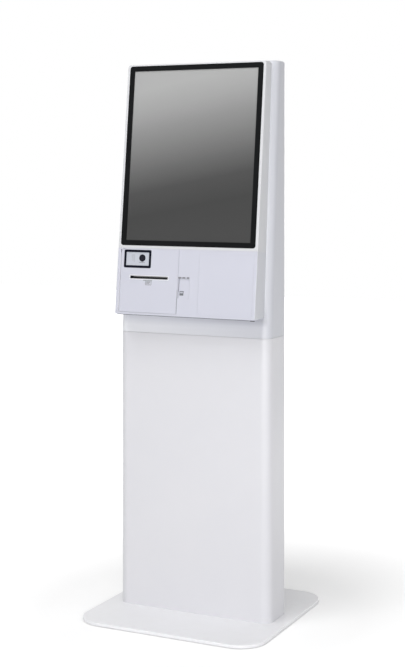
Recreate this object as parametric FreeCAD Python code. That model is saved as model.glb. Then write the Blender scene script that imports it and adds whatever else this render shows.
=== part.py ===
"""Floor-standing self-service ticket kiosk: floor plate, slim pedestal and a tilted head.

Millimetres, +Z up, the customer stands on the -Y side. The origin is the middle of the footprint, on the
floor. Every function returns one named sub-part, and the table at the end writes each to parts/NODE.step.

The tilted front is drawn in its own flat frame, called the face frame: x is the row's X, y is the depth
behind the face, and z runs up the slope from the face's lower edge. on_face() moves a shape from there.
"""
import FreeCAD, Part
import math
import os
from functools import partial

from FreeCAD import Placement, Rotation, Vector

# ---------------------------------------------------------------- driving dimensions
HEIGHT = 1540.0

# floor plate and its rubber pads
BASE_W, BASE_D, BASE_T, BASE_R = 545.0, 515.0, 8.0, 75.0
BASE_EDGE_R = 1.5
PAD_R, PAD_T, PAD_STAND, PAD_INSET = 20.0, 3.5, 2.0, 60.0
BASE_TOP = PAD_STAND + BASE_T

# pedestal shell, bent from sheet
COLUMN_W, COLUMN_D, COLUMN_FRONT = 463.0, 113.0, -69.0
COLUMN_R, COLUMN_REAR_R = 26.0, 8.0
SHEET = 2.0
COLUMN_REAR = COLUMN_FRONT + COLUMN_D
SEAM_Z, SEAM_GAP = 783.0, 0.6
LIP_W = 14.0

# floor anchors and cable entry, inside the pedestal
ANCHOR_R, ANCHOR_SPAN_X, ANCHOR_SPAN_Y, ANCHOR_Y = 6.5, 220.0, 60.0, -12.5
CABLE_HOLE_R, GROMMET_R, GROMMET_Y = 24.0, 18.0, -12.5

# steel uprights
TUBE, TUBE_WALL, UPRIGHT_X, UPRIGHT_Y = 30.0, 2.0, 200.0, 12.0
FOOT_T, FOOT_IN_X, FOOT_OUT_X, FOOT_FRONT_Y = 6.0, 160.0, 215.0, -45.0
TIE_T, TIE_H = 4.0, 30.0
TIE_HEIGHTS = (140.0, 420.0, 700.0)

# head housing, moulded
HEAD_WALL, HEAD_LEAN, HEAD_TOP_R = 3.0, 57.0, 7.0
HEAD_FOOT = SEAM_Z + SEAM_GAP / 2
HEAD_TILT = math.degrees(math.atan(HEAD_LEAN / (HEIGHT - HEAD_FOOT)))
FRONT_OPEN_X, FRONT_OPEN_LOW, FRONT_OPEN_HIGH = 193.0, 845.0, 1520.0
REAR_OPEN_X, REAR_OPEN_LOW, REAR_OPEN_HIGH = 186.0, 806.0, 1508.0
REBATE, COVER_T = 6.0, 1.5
FIT_GAP = 0.3

# tilted front
FACE_W, FACE_FOOT_Y, FACE_FOOT_Z, FACE_TOP_PROUD = 428.0, -126.0, 838.0, 34.22
FACE_WALL, FACE_TOP_R, FACE_FOOT_R, FACE_EDGE_R = 3.0, 9.0, 4.0, 2.0
FACE_BELOW_TOP = 2.0
SPLIT, SPLIT_GAP = 185.0, 0.6
RIB_T, RIB_DEEP = 2.5, 20.0

# screen: black frame, glass and panel
RING_W, RING_H, RING_BAR, RING_R, RING_PROUD = 409.0, 505.0, 13.5, 6.0, 0.8
RING_BELOW_TOP = 5.7
RING_FLANGE, RING_FLANGE_T = 1.5, 2.0
GLASS_T, GLASS_LAP, GLASS_SUNK = 3.0, 3.0, 1.2
PANEL_T, PANEL_LAP = 15.0, 6.0

# scanner window
SCAN_X, SCAN_S, SCAN_W, SCAN_H, SCAN_BAR, SCAN_R, SCAN_PROUD = -150.5, 155.4, 85.0, 50.0, 6.5, 4.0, 0.6
LENS_X, LENS_S, LENS_R = -136.0, 158.0, 10.0
SCAN_BODY_T = 24.0

# ticket door, which also carries the scanner, with a small notch for the upper hinge lug
DOOR_LEFT, DOOR_RIGHT, DOOR_FOOT, DOOR_NOTCH_X, DOOR_NOTCH_S = -204.0, -22.0, 7.0, -194.4, 181.0
DOOR_GAP, DOOR_T, BARREL_R, DOOR_PIN_R = 0.6, 3.0, 4.0, 2.0
DOOR_PIN_REACH, LUG_HALF, PIN_PLAY = 2.6, 3.8, 0.05
DOOR_RIB, DOOR_RIB_DEEP = 2.5, 9.0
SLOT_X, SLOT_S, SLOT_W, SLOT_H = -112.0, 104.4, 116.0, 6.0
SLOT_RIM, SLOT_DEEP = 1.2, 9.0

# card slot
CARD_X, CARD_S, CARD_W, CARD_H = -3.4, 79.0, 36.0, 59.0
CARD_SLIT, CARD_SLIT_H, CARD_SLIT_INSET, CARD_POCKET = 1.6, 55.0, 2.0, 2.4
CARD_BODY_DEEP = 52.0

# blank plate over the bay for a payment terminal
BLANK_LEFT, BLANK_RIGHT, BLANK_FOOT, BLANK_TOP = 42.0, 204.0, 9.0, 176.0
BLANK_FLANGE, BLANK_FLANGE_T = 4.5, 1.5

# ticket printer
SHELF_Z, SHELF_T, SHELF_RIGHT, SHELF_FRONT_Y = 846.0, 2.0, 22.0, -106.0
CHASSIS_LEFT, CHASSIS_RIGHT, CHASSIS_T = -178.0, -46.0, 1.5
CHASSIS_FRONT_Y, CHASSIS_REAR_Y, CHASSIS_TOP = -92.0, 26.0, 958.0
PAPER_Z = 941.7
ROLL_R, ROLL_W, ROLL_Y, ROLL_Z, CORE_R = 31.0, 112.0, -20.0, 884.0, 6.4
SPINDLE_END_R = 4.0
PLATEN_R, PLATEN_Y, AXLE_R = 7.0, -62.0, 2.0
PLATEN_Z = PAPER_Z + PLATEN_R
LID_PIVOT_Y, LID_PIVOT_Z, LID_FRONT_Y, LID_T = 18.0, 954.0, -74.0, 1.5
GEAR_MODULE, PLATEN_TEETH, PINION_TEETH, GEAR_W, GEAR_X = 0.8, 20, 12, 5.0, -45.0
GEAR_BACKLASH = 0.12
PINION_BEARING = math.radians(-90.0)
GEAR_PLATE_X, MOTOR_R, MOTOR_T = -38.0, 13.0, 14.0
CUTTER_FRONT_Y, CUTTER_REAR_Y, CUTTER_FOOT, CUTTER_TOP = -92.0, -80.0, 926.0, 959.0
BLADE_T, BLADE_PLAY, BLADE_UP, BLADE_H = 1.0, 0.1, 944.0, 14.0
PAPER_THROAT, GUIDE_LONG = 3.2, 10.0

# rear door of the pedestal
REAR_DOOR_X, REAR_DOOR_LOW, REAR_DOOR_HIGH = 205.0, 78.0, 750.0
REAR_DOOR_GAP, REAR_DOOR_T, REAR_DOOR_FLANGE = 1.2, 1.5, 12.0
HINGE_X, HINGE_Y_OUT, KNUCKLE_R, HINGE_PIN_R, HINGE_H = -211.0, 5.0, 4.5, 2.5, 60.0
HINGE_HEIGHTS = (150.0, 620.0)
LEAF_T = 2.0
LOCK_X, LOCK_Z, LOCK_R, LOCK_HEAD_R, LOCK_DEEP = 165.0, 412.0, 9.5, 12.0, 22.0
CAM_R, CAM_T, CAM_W, CAM_CRANK, CAM_REACH = 3.0, 2.5, 12.0, 15.0, 46.0

# fan, boards and power
FAN_X, FAN_Z, FAN_SIZE, FAN_T, FAN_BLADE_R, FAN_BLADES = 60.0, 1400.0, 60.0, 15.0, 27.0, 7
SOCKET_X, SOCKET_Z, SOCKET_W, SOCKET_H = 120.0, 45.0, 30.0, 22.0
SWITCH_X, SWITCH_W, SWITCH_H, ROCKER_LEAN = 70.0, 22.0, 30.0, 8.0
SPEAKER_XS, SPEAKER_Y, SPEAKER_R, SPEAKER_T = (85.0, 155.0), -94.0, 20.0, 14.0

# ---------------------------------------------------------------- the frames of the tilted faces
def lean_y(z):
    """Y of the housing's leaning front at height z."""
    return COLUMN_FRONT + (z - HEAD_FOOT) * HEAD_LEAN / (HEIGHT - HEAD_FOOT)


FACE_RISE = HEIGHT - FACE_BELOW_TOP - FACE_FOOT_Z
FACE_BACK = lean_y(HEIGHT - FACE_BELOW_TOP) - FACE_TOP_PROUD - FACE_FOOT_Y
FACE_TILT = math.degrees(math.atan(FACE_BACK / FACE_RISE))
FACE = Placement(Vector(0, FACE_FOOT_Y, FACE_FOOT_Z), Rotation(Vector(1, 0, 0), -FACE_TILT))
LEAN = Placement(Vector(0, COLUMN_FRONT, HEAD_FOOT), Rotation(Vector(1, 0, 0), -HEAD_TILT))
FACE_COS = math.cos(math.radians(FACE_TILT))
FACE_HIGH = FACE_RISE / FACE_COS
RING_TOP = FACE_HIGH - RING_BELOW_TOP
RING_FOOT = RING_TOP - RING_H
BARREL_X = DOOR_LEFT + BARREL_R
GEAR_CENTRES = GEAR_MODULE * (PLATEN_TEETH + PINION_TEETH) / 2
PINION_Y = PLATEN_Y + GEAR_CENTRES * math.cos(PINION_BEARING)
PINION_Z = PLATEN_Z + GEAR_CENTRES * math.sin(PINION_BEARING)
HINGE_Y = COLUMN_REAR + HINGE_Y_OUT


# ---------------------------------------------------------------- small helpers
def on_face(shape):
    moved = shape.copy()
    moved.Placement = FACE.multiply(moved.Placement)
    return moved


def on_lean(shape):
    moved = shape.copy()
    moved.Placement = LEAN.multiply(moved.Placement)
    return moved


def block(x0, x1, y0, y1, z0, z1):
    return Part.makeBox(x1 - x0, y1 - y0, z1 - z0, Vector(x0, y0, z0))


def rod(x, y, z, r, length, axis):
    return Part.makeCylinder(r, length, Vector(x, y, z), Vector(*axis))


def tube(x, y, z, r_out, r_in, length, axis):
    return rod(x, y, z, r_out, length, axis).cut(rod(x, y, z, r_in, length, axis))


def fuse(*shapes):
    made = shapes[0]
    if len(shapes) > 1:
        made = made.fuse(list(shapes[1:]))
    return made.removeSplitter()


def group(*shapes):
    return Part.makeCompound(list(shapes))


def round_outline(x0, x1, y0, y1, radii):
    """A closed wire in the XY plane. radii are those of the corners (x0,y0), (x1,y0), (x1,y1), (x0,y1)."""
    corners = [(x0, y0), (x1, y0), (x1, y1), (x0, y1)]
    edges, ends = [], []
    for i, (cx, cy) in enumerate(corners):
        r = radii[i]
        px, py = corners[i - 1]
        nx, ny = corners[(i + 1) % 4]
        back = Vector(px - cx, py - cy, 0).normalize()
        ahead = Vector(nx - cx, ny - cy, 0).normalize()
        corner = Vector(cx, cy, 0)
        start, end = corner + back * r, corner + ahead * r
        if r > 0:
            middle = corner + (back + ahead) * r * (1 - math.sqrt(0.5))
            edges.append((start, middle, end))
        ends.append((start, end))
    wire = []
    for i in range(4):
        if radii[i] > 0:
            wire.append(Part.Arc(*[e for e in edges if e[0] == ends[i][0]][0]).toShape())
        wire.append(Part.LineSegment(ends[i][1], ends[(i + 1) % 4][0]).toShape())
    return Part.Wire(Part.__sortEdges__(wire))


def round_plate(x0, x1, y0, y1, z0, z1, radii):
    """A flat plate with rounded corners, standing from z0 to z1."""
    if not isinstance(radii, (tuple, list)):
        radii = (radii,) * 4
    plate = Part.Face(round_outline(x0, x1, y0, y1, radii)).extrude(Vector(0, 0, z1 - z0))
    plate.translate(Vector(0, 0, z0))
    return plate


def face_plate(x0, x1, s0, s1, d0, d1, r=0.0):
    """An upright plate from y = d0 to d1 with corner radius r, or after on_face() one on the face."""
    plate = round_plate(x0, x1, -s1, -s0, d0, d1, r)
    plate.rotate(Vector(0, 0, 0), Vector(1, 0, 0), -90)
    return plate


def side_profile(points, half_w):
    """A solid with the side view given as (y, z) points, from -half_w to half_w in X."""
    wire = Part.makePolygon([Vector(-half_w, y, z) for y, z in points + points[:1]])
    return Part.Face(wire).extrude(Vector(2 * half_w, 0, 0))


def rounded(shape, r, wanted):
    """Fillets the edges that wanted() picks by their two ends."""
    whole = [e for e in shape.Edges if len(e.Vertexes) == 2]
    return shape.makeFillet(r, [e for e in whole if wanted(e.Vertexes[0].Point, e.Vertexes[1].Point)])


def socket_screw(x, y, z, r, length, head_r, head_h, axis):
    """A cap screw: the head stands on (x, y, z) and the shank runs along axis."""
    a = Vector(*axis)
    shank = Part.makeCylinder(r, length, Vector(x, y, z), a)
    head = Part.makeCylinder(head_r, head_h, Vector(x, y, z) - a * head_h, a)
    corners = [Rotation(Vector(0, 0, 1), 60 * k).multVec(Vector(head_r * 0.5, 0, 0)) for k in range(6)]
    key = Part.Face(Part.makePolygon(corners + corners[:1])).extrude(Vector(0, 0, head_h * 0.6))
    key.Placement = Placement(Vector(x, y, z) - a * head_h, Rotation(Vector(0, 0, 1), a))
    return shank.fuse(head).cut(key).removeSplitter()


def gear(teeth, bore_r, width, phase, x, y, z):
    """A spur gear about the X axis at (x, y, z). phase turns one tooth's middle to that angle from +Y."""
    pitch_r = GEAR_MODULE * teeth / 2
    base_r = pitch_r * math.cos(math.radians(20))
    tip_r, root_r = pitch_r + 0.9 * GEAR_MODULE, pitch_r - 1.2 * GEAR_MODULE

    def involute(r):
        a = math.acos(min(1.0, base_r / r))
        return math.tan(a) - a

    half = math.pi / (2 * teeth) - GEAR_BACKLASH / (2 * pitch_r) + involute(pitch_r)
    flank_foot = max(base_r, root_r)
    flank = [flank_foot + (tip_r - flank_foot) * i / 3 for i in range(4)]
    rising = [(root_r, half - involute(flank_foot))] + [(r, half - involute(r)) for r in flank]
    points = []
    for k in range(teeth):
        middle = phase + 2 * math.pi * k / teeth
        points += [(r, middle - a) for r, a in rising]
        points += [(r, middle + a) for r, a in reversed(rising)]
    corners = [Vector(x, y + r * math.cos(a), z + r * math.sin(a)) for r, a in points + points[:1]]
    body = Part.Face(Part.makePolygon(corners)).extrude(Vector(width, 0, 0))
    return body.cut(rod(x, y, z, bore_r, width, (1, 0, 0)))


# ---------------------------------------------------------------- floor plate
def pad_places():
    px, py = BASE_W / 2 - PAD_INSET, BASE_D / 2 - PAD_INSET
    return [(sx * px, sy * py) for sx in (-1, 1) for sy in (-1, 1)]


def anchor_places():
    return [(sx * ANCHOR_SPAN_X / 2, ANCHOR_Y + sy * ANCHOR_SPAN_Y / 2) for sx in (-1, 1) for sy in (-1, 1)]


FOOT_BOLT_R, FOOT_BOLT_HEAD_R, FOOT_BOLT_HEAD_H = 4.0, 6.5, 8.0
FOOT_EDGE = 9.0


def foot_bolt_places():
    rear = UPRIGHT_Y + TUBE / 2 - FOOT_EDGE
    front = FOOT_FRONT_Y + FOOT_EDGE
    inner, outer = FOOT_IN_X + FOOT_EDGE, FOOT_OUT_X - FOOT_EDGE
    return [(s * x, y) for s in (-1, 1) for x, y in ((inner, front), (outer, front), (inner, rear))]


def base_plate():
    plate = round_plate(-BASE_W / 2, BASE_W / 2, -BASE_D / 2, BASE_D / 2, PAD_STAND, BASE_TOP, BASE_R)
    plate = plate.makeFillet(BASE_EDGE_R, [e for e in plate.Edges if e.BoundBox.ZMin > BASE_TOP - 0.01])
    for x, y in pad_places():
        plate = plate.cut(rod(x, y, PAD_STAND, PAD_R + 0.2, PAD_T - PAD_STAND, (0, 0, 1)))
    for x, y in anchor_places():
        plate = plate.cut(rod(x, y, 0, ANCHOR_R, BASE_TOP + 1, (0, 0, 1)))
    for x, y in foot_bolt_places():
        plate = plate.cut(rod(x, y, 0, FOOT_BOLT_R, BASE_TOP + 1, (0, 0, 1)))
    return plate.cut(rod(0, GROMMET_Y, 0, CABLE_HOLE_R, BASE_TOP + 1, (0, 0, 1)))


def floor_pads():
    pads = []
    for x, y in pad_places():
        pad = rod(x, y, 0, PAD_R, PAD_T, (0, 0, 1))
        pads.append(pad.makeFillet(0.6, [e for e in pad.Edges if e.BoundBox.ZMax < 0.01]))
    return group(*pads)


def cable_grommet():
    lip_r, lip_t = CABLE_HOLE_R + 4.0, 2.5
    body = tube(0, GROMMET_Y, PAD_STAND + 0.5, CABLE_HOLE_R, GROMMET_R, BASE_T - 0.5 + lip_t, (0, 0, 1))
    lip = tube(0, GROMMET_Y, BASE_TOP, lip_r, GROMMET_R, lip_t, (0, 0, 1))
    return fuse(body, lip)


# ---------------------------------------------------------------- pedestal
def column_outline(inset):
    front_r, rear_r = COLUMN_R - inset, COLUMN_REAR_R - inset
    x = COLUMN_W / 2 - inset
    return round_outline(-x, x, COLUMN_FRONT + inset, COLUMN_REAR - inset, (front_r, front_r, rear_r, rear_r))


def column_prism(inset, z0, z1):
    prism = Part.Face(column_outline(inset)).extrude(Vector(0, 0, z1 - z0))
    prism.translate(Vector(0, 0, z0))
    return prism


def pedestal_shell():
    top = SEAM_Z - SEAM_GAP / 2
    shell = column_prism(0, BASE_TOP, top).cut(column_prism(SHEET, BASE_TOP - 1, top + 1))
    lip_r, lip = 3.0, SHEET + LIP_W
    hole = round_plate(-COLUMN_W / 2 + lip, COLUMN_W / 2 - lip, COLUMN_FRONT + lip, COLUMN_REAR - lip,
                       BASE_TOP - 1, BASE_TOP + SHEET + 1, lip_r)
    lip = column_prism(SHEET / 2, BASE_TOP, BASE_TOP + SHEET).cut(hole)
    shell = fuse(shell, lip)
    shell = shell.cut(block(-REAR_DOOR_X, REAR_DOOR_X, COLUMN_REAR - SHEET - 1, COLUMN_REAR + 1,
                            REAR_DOOR_LOW, REAR_DOOR_HIGH))
    for x0, w, h in ((SOCKET_X, SOCKET_W, SOCKET_H), (SWITCH_X, SWITCH_W - 4, SWITCH_H - 4)):
        shell = shell.cut(block(x0 - w / 2, x0 + w / 2, COLUMN_REAR - SHEET - 1, COLUMN_REAR + 1,
                                SOCKET_Z - h / 2, SOCKET_Z + h / 2))
    return shell


def upright(side):
    x, y, half, r = side * UPRIGHT_X, UPRIGHT_Y, TUBE / 2, 3.0
    z0, z1 = BASE_TOP + FOOT_T, HEIGHT - HEAD_WALL - TIE_T - 4.0
    outer = round_plate(x - half, x + half, y - half, y + half, z0, z1, r)
    half -= TUBE_WALL
    return outer.cut(round_plate(x - half, x + half, y - half, y + half, z0 - 1, z1 + 1, r - TUBE_WALL))


def foot_flanges():
    y0, y1, z0, z1 = FOOT_FRONT_Y, UPRIGHT_Y + TUBE / 2, BASE_TOP, BASE_TOP + FOOT_T
    feet = group(round_plate(-FOOT_OUT_X, -FOOT_IN_X, y0, y1, z0, z1, 3.0),
                 round_plate(FOOT_IN_X, FOOT_OUT_X, y0, y1, z0, z1, 3.0))
    for x, y in foot_bolt_places():
        feet = feet.cut(rod(x, y, BASE_TOP - 1, FOOT_BOLT_R, FOOT_T + 2, (0, 0, 1)))
    return feet


def foot_bolts():
    z, length = BASE_TOP + FOOT_T, FOOT_T + BASE_T - 1.0
    head_r, head_h = FOOT_BOLT_HEAD_R, FOOT_BOLT_HEAD_H
    return group(*[socket_screw(x, y, z, FOOT_BOLT_R, length, head_r, head_h, (0, 0, -1))
                   for x, y in foot_bolt_places()])


def tie_bars():
    x = UPRIGHT_X - TUBE / 2
    y0 = UPRIGHT_Y - TUBE / 2
    return group(*[block(-x, x, y0, y0 + TIE_T, z, z + TIE_H) for z in TIE_HEIGHTS])


def top_crossbar():
    x, y, z1 = UPRIGHT_X + TUBE / 2, TUBE / 2, HEIGHT - HEAD_WALL
    return block(-x, x, UPRIGHT_Y - y, UPRIGHT_Y + y, z1 - TIE_T - 4.0, z1 - FIT_GAP)


def power_supply():
    x, y0, z0, z1 = 95.0, -46.0, TIE_HEIGHTS[0] - 20.0, TIE_HEIGHTS[0] + TIE_H + 20.0
    y1 = UPRIGHT_Y - TUBE / 2
    case = block(-x, x, y0, y1, z0, z1)
    case = case.makeFillet(2.0, [e for e in case.Edges if abs(e.BoundBox.YMax - y0) < 0.01])
    for k in range(9):
        vent_x = -64.0 + 16.0 * k
        case = case.cut(block(vent_x - 3, vent_x + 3, y0 - 1, y0 + 2, z0 + 18, z1 - 18))
    return case


# ---------------------------------------------------------------- rear door
def rear_door():
    x, g, t = REAR_DOOR_X - REAR_DOOR_GAP, REAR_DOOR_GAP, REAR_DOOR_T
    z0, z1 = REAR_DOOR_LOW + g, REAR_DOOR_HIGH - g
    y1 = COLUMN_REAR
    tray = block(-x, x, y1 - REAR_DOOR_FLANGE, y1, z0, z1)
    door = tray.cut(block(-x + t, x - t, y1 - REAR_DOOR_FLANGE - 1, y1 - t, z0 + t, z1 - t))
    door = door.cut(rod(LOCK_X, y1 - REAR_DOOR_FLANGE, LOCK_Z, LOCK_R, REAR_DOOR_FLANGE + 1, (0, 1, 0)))
    notch_low, notch_high = LOCK_Z - CAM_W, LOCK_Z + CAM_REACH
    door = door.cut(block(x - t - 1, x + 1, y1 - REAR_DOOR_FLANGE - 1, y1 - t, notch_low, notch_high))
    for k in range(8):
        vent_z = z0 + 30.0 + 9.0 * k
        door = door.cut(block(-60, 60, y1 - t - 1, y1 + 1, vent_z, vent_z + 3.5))
    return door


def hinge_leaf(z, on_door):
    """One hinge leaf: the shell's has the two end knuckles, the door's has the middle one."""
    third, play, y0, y1 = HINGE_H / 3, 0.3, COLUMN_REAR, COLUMN_REAR + LEAF_T
    if on_door:
        door_x = REAR_DOOR_GAP - REAR_DOOR_X
        z0, z1 = z + third + play, z + 2 * third - play
        bar = block(HINGE_X, door_x, y0 + 0.4, y1, z0, z1)
        leaf = fuse(bar, block(door_x, door_x + 20.0, y0, y1, z, z + HINGE_H),
                    rod(HINGE_X, HINGE_Y, z0, KNUCKLE_R, z1 - z0, (0, 0, 1)))
        return leaf.cut(rod(HINGE_X, HINGE_Y, z - 1, HINGE_PIN_R + PIN_PLAY, HINGE_H + 2, (0, 0, 1)))
    ends = [(z, z + third - play), (z + 2 * third + play, z + HINGE_H)]
    arms = [block(HINGE_X - 12.0, HINGE_X, y0, y1, a, b) for a, b in ends]
    knuckles = [rod(HINGE_X, HINGE_Y, a, KNUCKLE_R, b - a, (0, 0, 1)) for a, b in ends]
    leaf = fuse(block(HINGE_X - 12.0, HINGE_X - KNUCKLE_R - 1.0, y0, y1, z, z + HINGE_H), *arms, *knuckles)
    return leaf.cut(rod(HINGE_X, HINGE_Y, z - 1, HINGE_PIN_R, HINGE_H + 2, (0, 0, 1)))


def rear_hinge_leaves():
    return group(*[hinge_leaf(z, False) for z in HINGE_HEIGHTS])


def rear_door_leaves():
    return group(*[hinge_leaf(z, True) for z in HINGE_HEIGHTS])


def rear_hinge_pins():
    length = HINGE_H + 2.0
    return group(*[rod(HINGE_X, HINGE_Y, z - 1.0, HINGE_PIN_R, length, (0, 0, 1)) for z in HINGE_HEIGHTS])


def rear_door_lock():
    y0 = COLUMN_REAR - LOCK_DEEP
    barrel = rod(LOCK_X, y0, LOCK_Z, LOCK_R, LOCK_DEEP, (0, 1, 0))
    head = rod(LOCK_X, COLUMN_REAR, LOCK_Z, LOCK_HEAD_R, 2.0, (0, 1, 0))
    bore = rod(LOCK_X, y0 - 1, LOCK_Z, CAM_R + PIN_PLAY, LOCK_DEEP + 4, (0, 1, 0))
    return fuse(barrel, head).cut(bore)


def lock_cam():
    """The key plug and its cranked cam, turned open: the cam points up."""
    y0 = COLUMN_REAR - LOCK_DEEP
    plug = rod(LOCK_X, y0 - CAM_T, LOCK_Z, CAM_R, LOCK_DEEP + CAM_T + 1.6, (0, 1, 0))
    keyhole = block(LOCK_X - 0.6, LOCK_X + 0.6, COLUMN_REAR - 3, COLUMN_REAR + 3, LOCK_Z - 2.2, LOCK_Z + 2.2)
    plug = plug.cut(keyhole)
    w = CAM_W / 2
    back, front = y0 - CAM_T, COLUMN_REAR - SHEET - 1.0
    arm = block(LOCK_X - w, LOCK_X + w, back, y0 - 0.2, LOCK_Z - w, LOCK_Z + CAM_CRANK + CAM_T)
    riser = block(LOCK_X - w, LOCK_X + w, back, front, LOCK_Z + CAM_CRANK, LOCK_Z + CAM_CRANK + CAM_T)
    tip = block(LOCK_X - w, LOCK_X + w, front - CAM_T, front, LOCK_Z + CAM_CRANK, LOCK_Z + CAM_REACH)
    return fuse(plug, arm, riser, tip)


# ---------------------------------------------------------------- head housing
def housing_block(inset, drop):
    """The housing's outer form, or with an inset its hollow. drop is how far it runs below the seam."""
    t = inset / math.cos(math.radians(HEAD_TILT))
    z0, z1 = HEAD_FOOT - drop, HEIGHT - inset
    foot_y = lean_y(z0)
    points = [(foot_y + t, z0), (lean_y(z1) + t, z1), (COLUMN_REAR - inset, z1), (COLUMN_REAR - inset, z0)]
    body = side_profile(points, COLUMN_W / 2 - inset)

    def upright_edge(a, b):
        return abs(a.z - b.z) > 100 and abs(a.x - b.x) < 0.01

    body = rounded(body, COLUMN_R - inset, lambda a, b: upright_edge(a, b) and (a + b).y < 0)
    body = rounded(body, COLUMN_REAR_R - inset, lambda a, b: upright_edge(a, b) and (a + b).y > 0)
    top_r = max(HEAD_TOP_R - inset, 1.0)
    return body.makeFillet(top_r, [e for e in body.Edges if e.BoundBox.ZMin > z1 - 0.01])


SCREW_R, SCREW_HEAD_R, SCREW_HEAD_H = 1.5, 3.0, 2.2
FRONT_SCREW_X, FRONT_SCREW_S = 200.0, (100.0, 175.0, 300.0, 500.0, 700.0)


def front_screw_places():
    return [(s * FRONT_SCREW_X, z) for s in (-1, 1) for z in FRONT_SCREW_S]


def cover_screw_places():
    x = REAR_OPEN_X + REBATE / 2
    zs = [REAR_OPEN_LOW + 20 + k * (REAR_OPEN_HIGH - REAR_OPEN_LOW - 40) / 3 for k in range(4)]
    return [(s * x, z) for s in (-1, 1) for z in zs]


def head_housing():
    housing = housing_block(0, 0).cut(housing_block(HEAD_WALL, 5))
    housing = housing.cut(block(-FRONT_OPEN_X, FRONT_OPEN_X, -200, 0, FRONT_OPEN_LOW, FRONT_OPEN_HIGH))
    for deep, edge in ((HEAD_WALL + 1, 0.0), (COVER_T, REBATE)):
        x = REAR_OPEN_X + edge
        housing = housing.cut(block(-x, x, COLUMN_REAR - deep, COLUMN_REAR + 1, REAR_OPEN_LOW - edge,
                                    REAR_OPEN_HIGH + edge))
    for x, s in front_screw_places():
        housing = housing.cut(on_lean(rod(x, -1, s, SCREW_R, HEAD_WALL + 2, (0, 1, 0))))
    for x, z in cover_screw_places():
        housing = housing.cut(rod(x, COLUMN_REAR - HEAD_WALL - 1, z, SCREW_R, HEAD_WALL + 2, (0, 1, 0)))
    return housing


def front_screws():
    screws = [socket_screw(x, HEAD_WALL, s, SCREW_R, 12.0, SCREW_HEAD_R, SCREW_HEAD_H, (0, -1, 0))
              for x, s in front_screw_places()]
    return group(*[on_lean(screw) for screw in screws])


def head_rear_cover():
    x, g = REAR_OPEN_X + REBATE - FIT_GAP, FIT_GAP
    z0, z1 = REAR_OPEN_LOW - REBATE + g, REAR_OPEN_HIGH + REBATE - g
    y0 = COLUMN_REAR - COVER_T
    cover = block(-x, x, y0, COLUMN_REAR, z0, z1)
    for k in range(7):
        z = FAN_Z - 27.0 + 9.0 * k - 1.5
        cover = cover.cut(block(FAN_X - 26, FAN_X + 26, y0 - 1, COLUMN_REAR + 1, z, z + 3.0))
    for k in range(10):
        z = z0 + 40.0 + 9.0 * k
        for x0 in (-120.0, 30.0):
            cover = cover.cut(block(x0, x0 + 90, y0 - 1, COLUMN_REAR + 1, z, z + 3.0))
    for x0, z in cover_screw_places():
        cover = cover.cut(rod(x0, y0 - 1, z, SCREW_R, COVER_T + 2, (0, 1, 0)))
    return cover


def rear_cover_screws():
    return group(*[socket_screw(x, COLUMN_REAR, z, SCREW_R, 6.0, SCREW_HEAD_R - 0.4, 1.6, (0, -1, 0))
                   for x, z in cover_screw_places()])


# ---------------------------------------------------------------- tilted front
def on_front(edge):
    """Whether an edge lies in the plane of the tilted front: both ends and its middle."""
    normal = FACE.Rotation.multVec(Vector(0, -1, 0))
    points = [v.Point for v in edge.Vertexes] + [edge.valueAt((edge.FirstParameter + edge.LastParameter) / 2)]
    return all(abs((p - FACE.Base).dot(normal)) < 0.01 for p in points)


def wedge(inset, into):
    """The front's outer form, or with an inset its hollow, running into the housing by a little."""
    z0, z1 = FACE_FOOT_Z + inset, HEIGHT - FACE_BELOW_TOP - inset
    slope, shift = math.tan(math.radians(FACE_TILT)), inset / FACE_COS
    y0, y1 = (FACE_FOOT_Y + (z - FACE_FOOT_Z) * slope + shift for z in (z0, z1))
    points = [(y0, z0), (y1, z1), (lean_y(z1) + into, z1), (lean_y(z0) + into, z0)]
    body = side_profile(points, FACE_W / 2 - inset)

    def runs_back(a, b):
        return abs(a.x - b.x) < 0.01 and abs(a.z - b.z) < 0.01

    body = rounded(body, FACE_TOP_R - inset, lambda a, b: runs_back(a, b) and a.z > z1 - 1)
    body = rounded(body, max(FACE_FOOT_R - inset, 1.0), lambda a, b: runs_back(a, b) and a.z < z0 + 1)
    if inset:
        return body
    return body.makeFillet(FACE_EDGE_R, [e for e in body.Edges if on_front(e)])


def front_shell():
    return wedge(0, 4.0).cut(wedge(FACE_WALL, 8.0)).cut(housing_block(0, 0))


def face_slice(s0, s1):
    """All of the front between two distances up the slope."""
    return on_face(block(-FACE_W, FACE_W, -50, 200, s0, s1))


def front_bosses(z0, z1):
    """Square bosses on the side walls between two heights, for the screws from inside the housing."""
    bosses = []
    for x, s in front_screw_places():
        xs = sorted((x - math.copysign(5.0, x), math.copysign(FACE_W / 2 - FACE_WALL + 0.5, x)))
        if z0 < HEAD_FOOT + s < z1:
            boss = block(xs[0], xs[1], -13.0, 0, s - 6, s + 6).cut(rod(x, 1, s, SCREW_R, 11.0, (0, -1, 0)))
            bosses.append(on_lean(boss))
    return bosses


def display_bezel():
    shell = front_shell().common(face_slice(SPLIT + SPLIT_GAP / 2, FACE_HIGH + 50))
    g = FIT_GAP
    x = RING_W / 2 + g
    shell = shell.cut(on_face(face_plate(-x, x, RING_FOOT - g, RING_TOP + g, -5, FACE_WALL + 3, RING_R + g)))
    x, foot = FACE_W / 2 - FACE_WALL + 0.5, SPLIT + SPLIT_GAP / 2
    rib = on_face(block(-x, x, FACE_WALL - 0.5, RIB_DEEP, foot, foot + RIB_T))
    return fuse(shell, rib, *front_bosses(FACE_FOOT_Z + SPLIT, HEIGHT))


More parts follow.
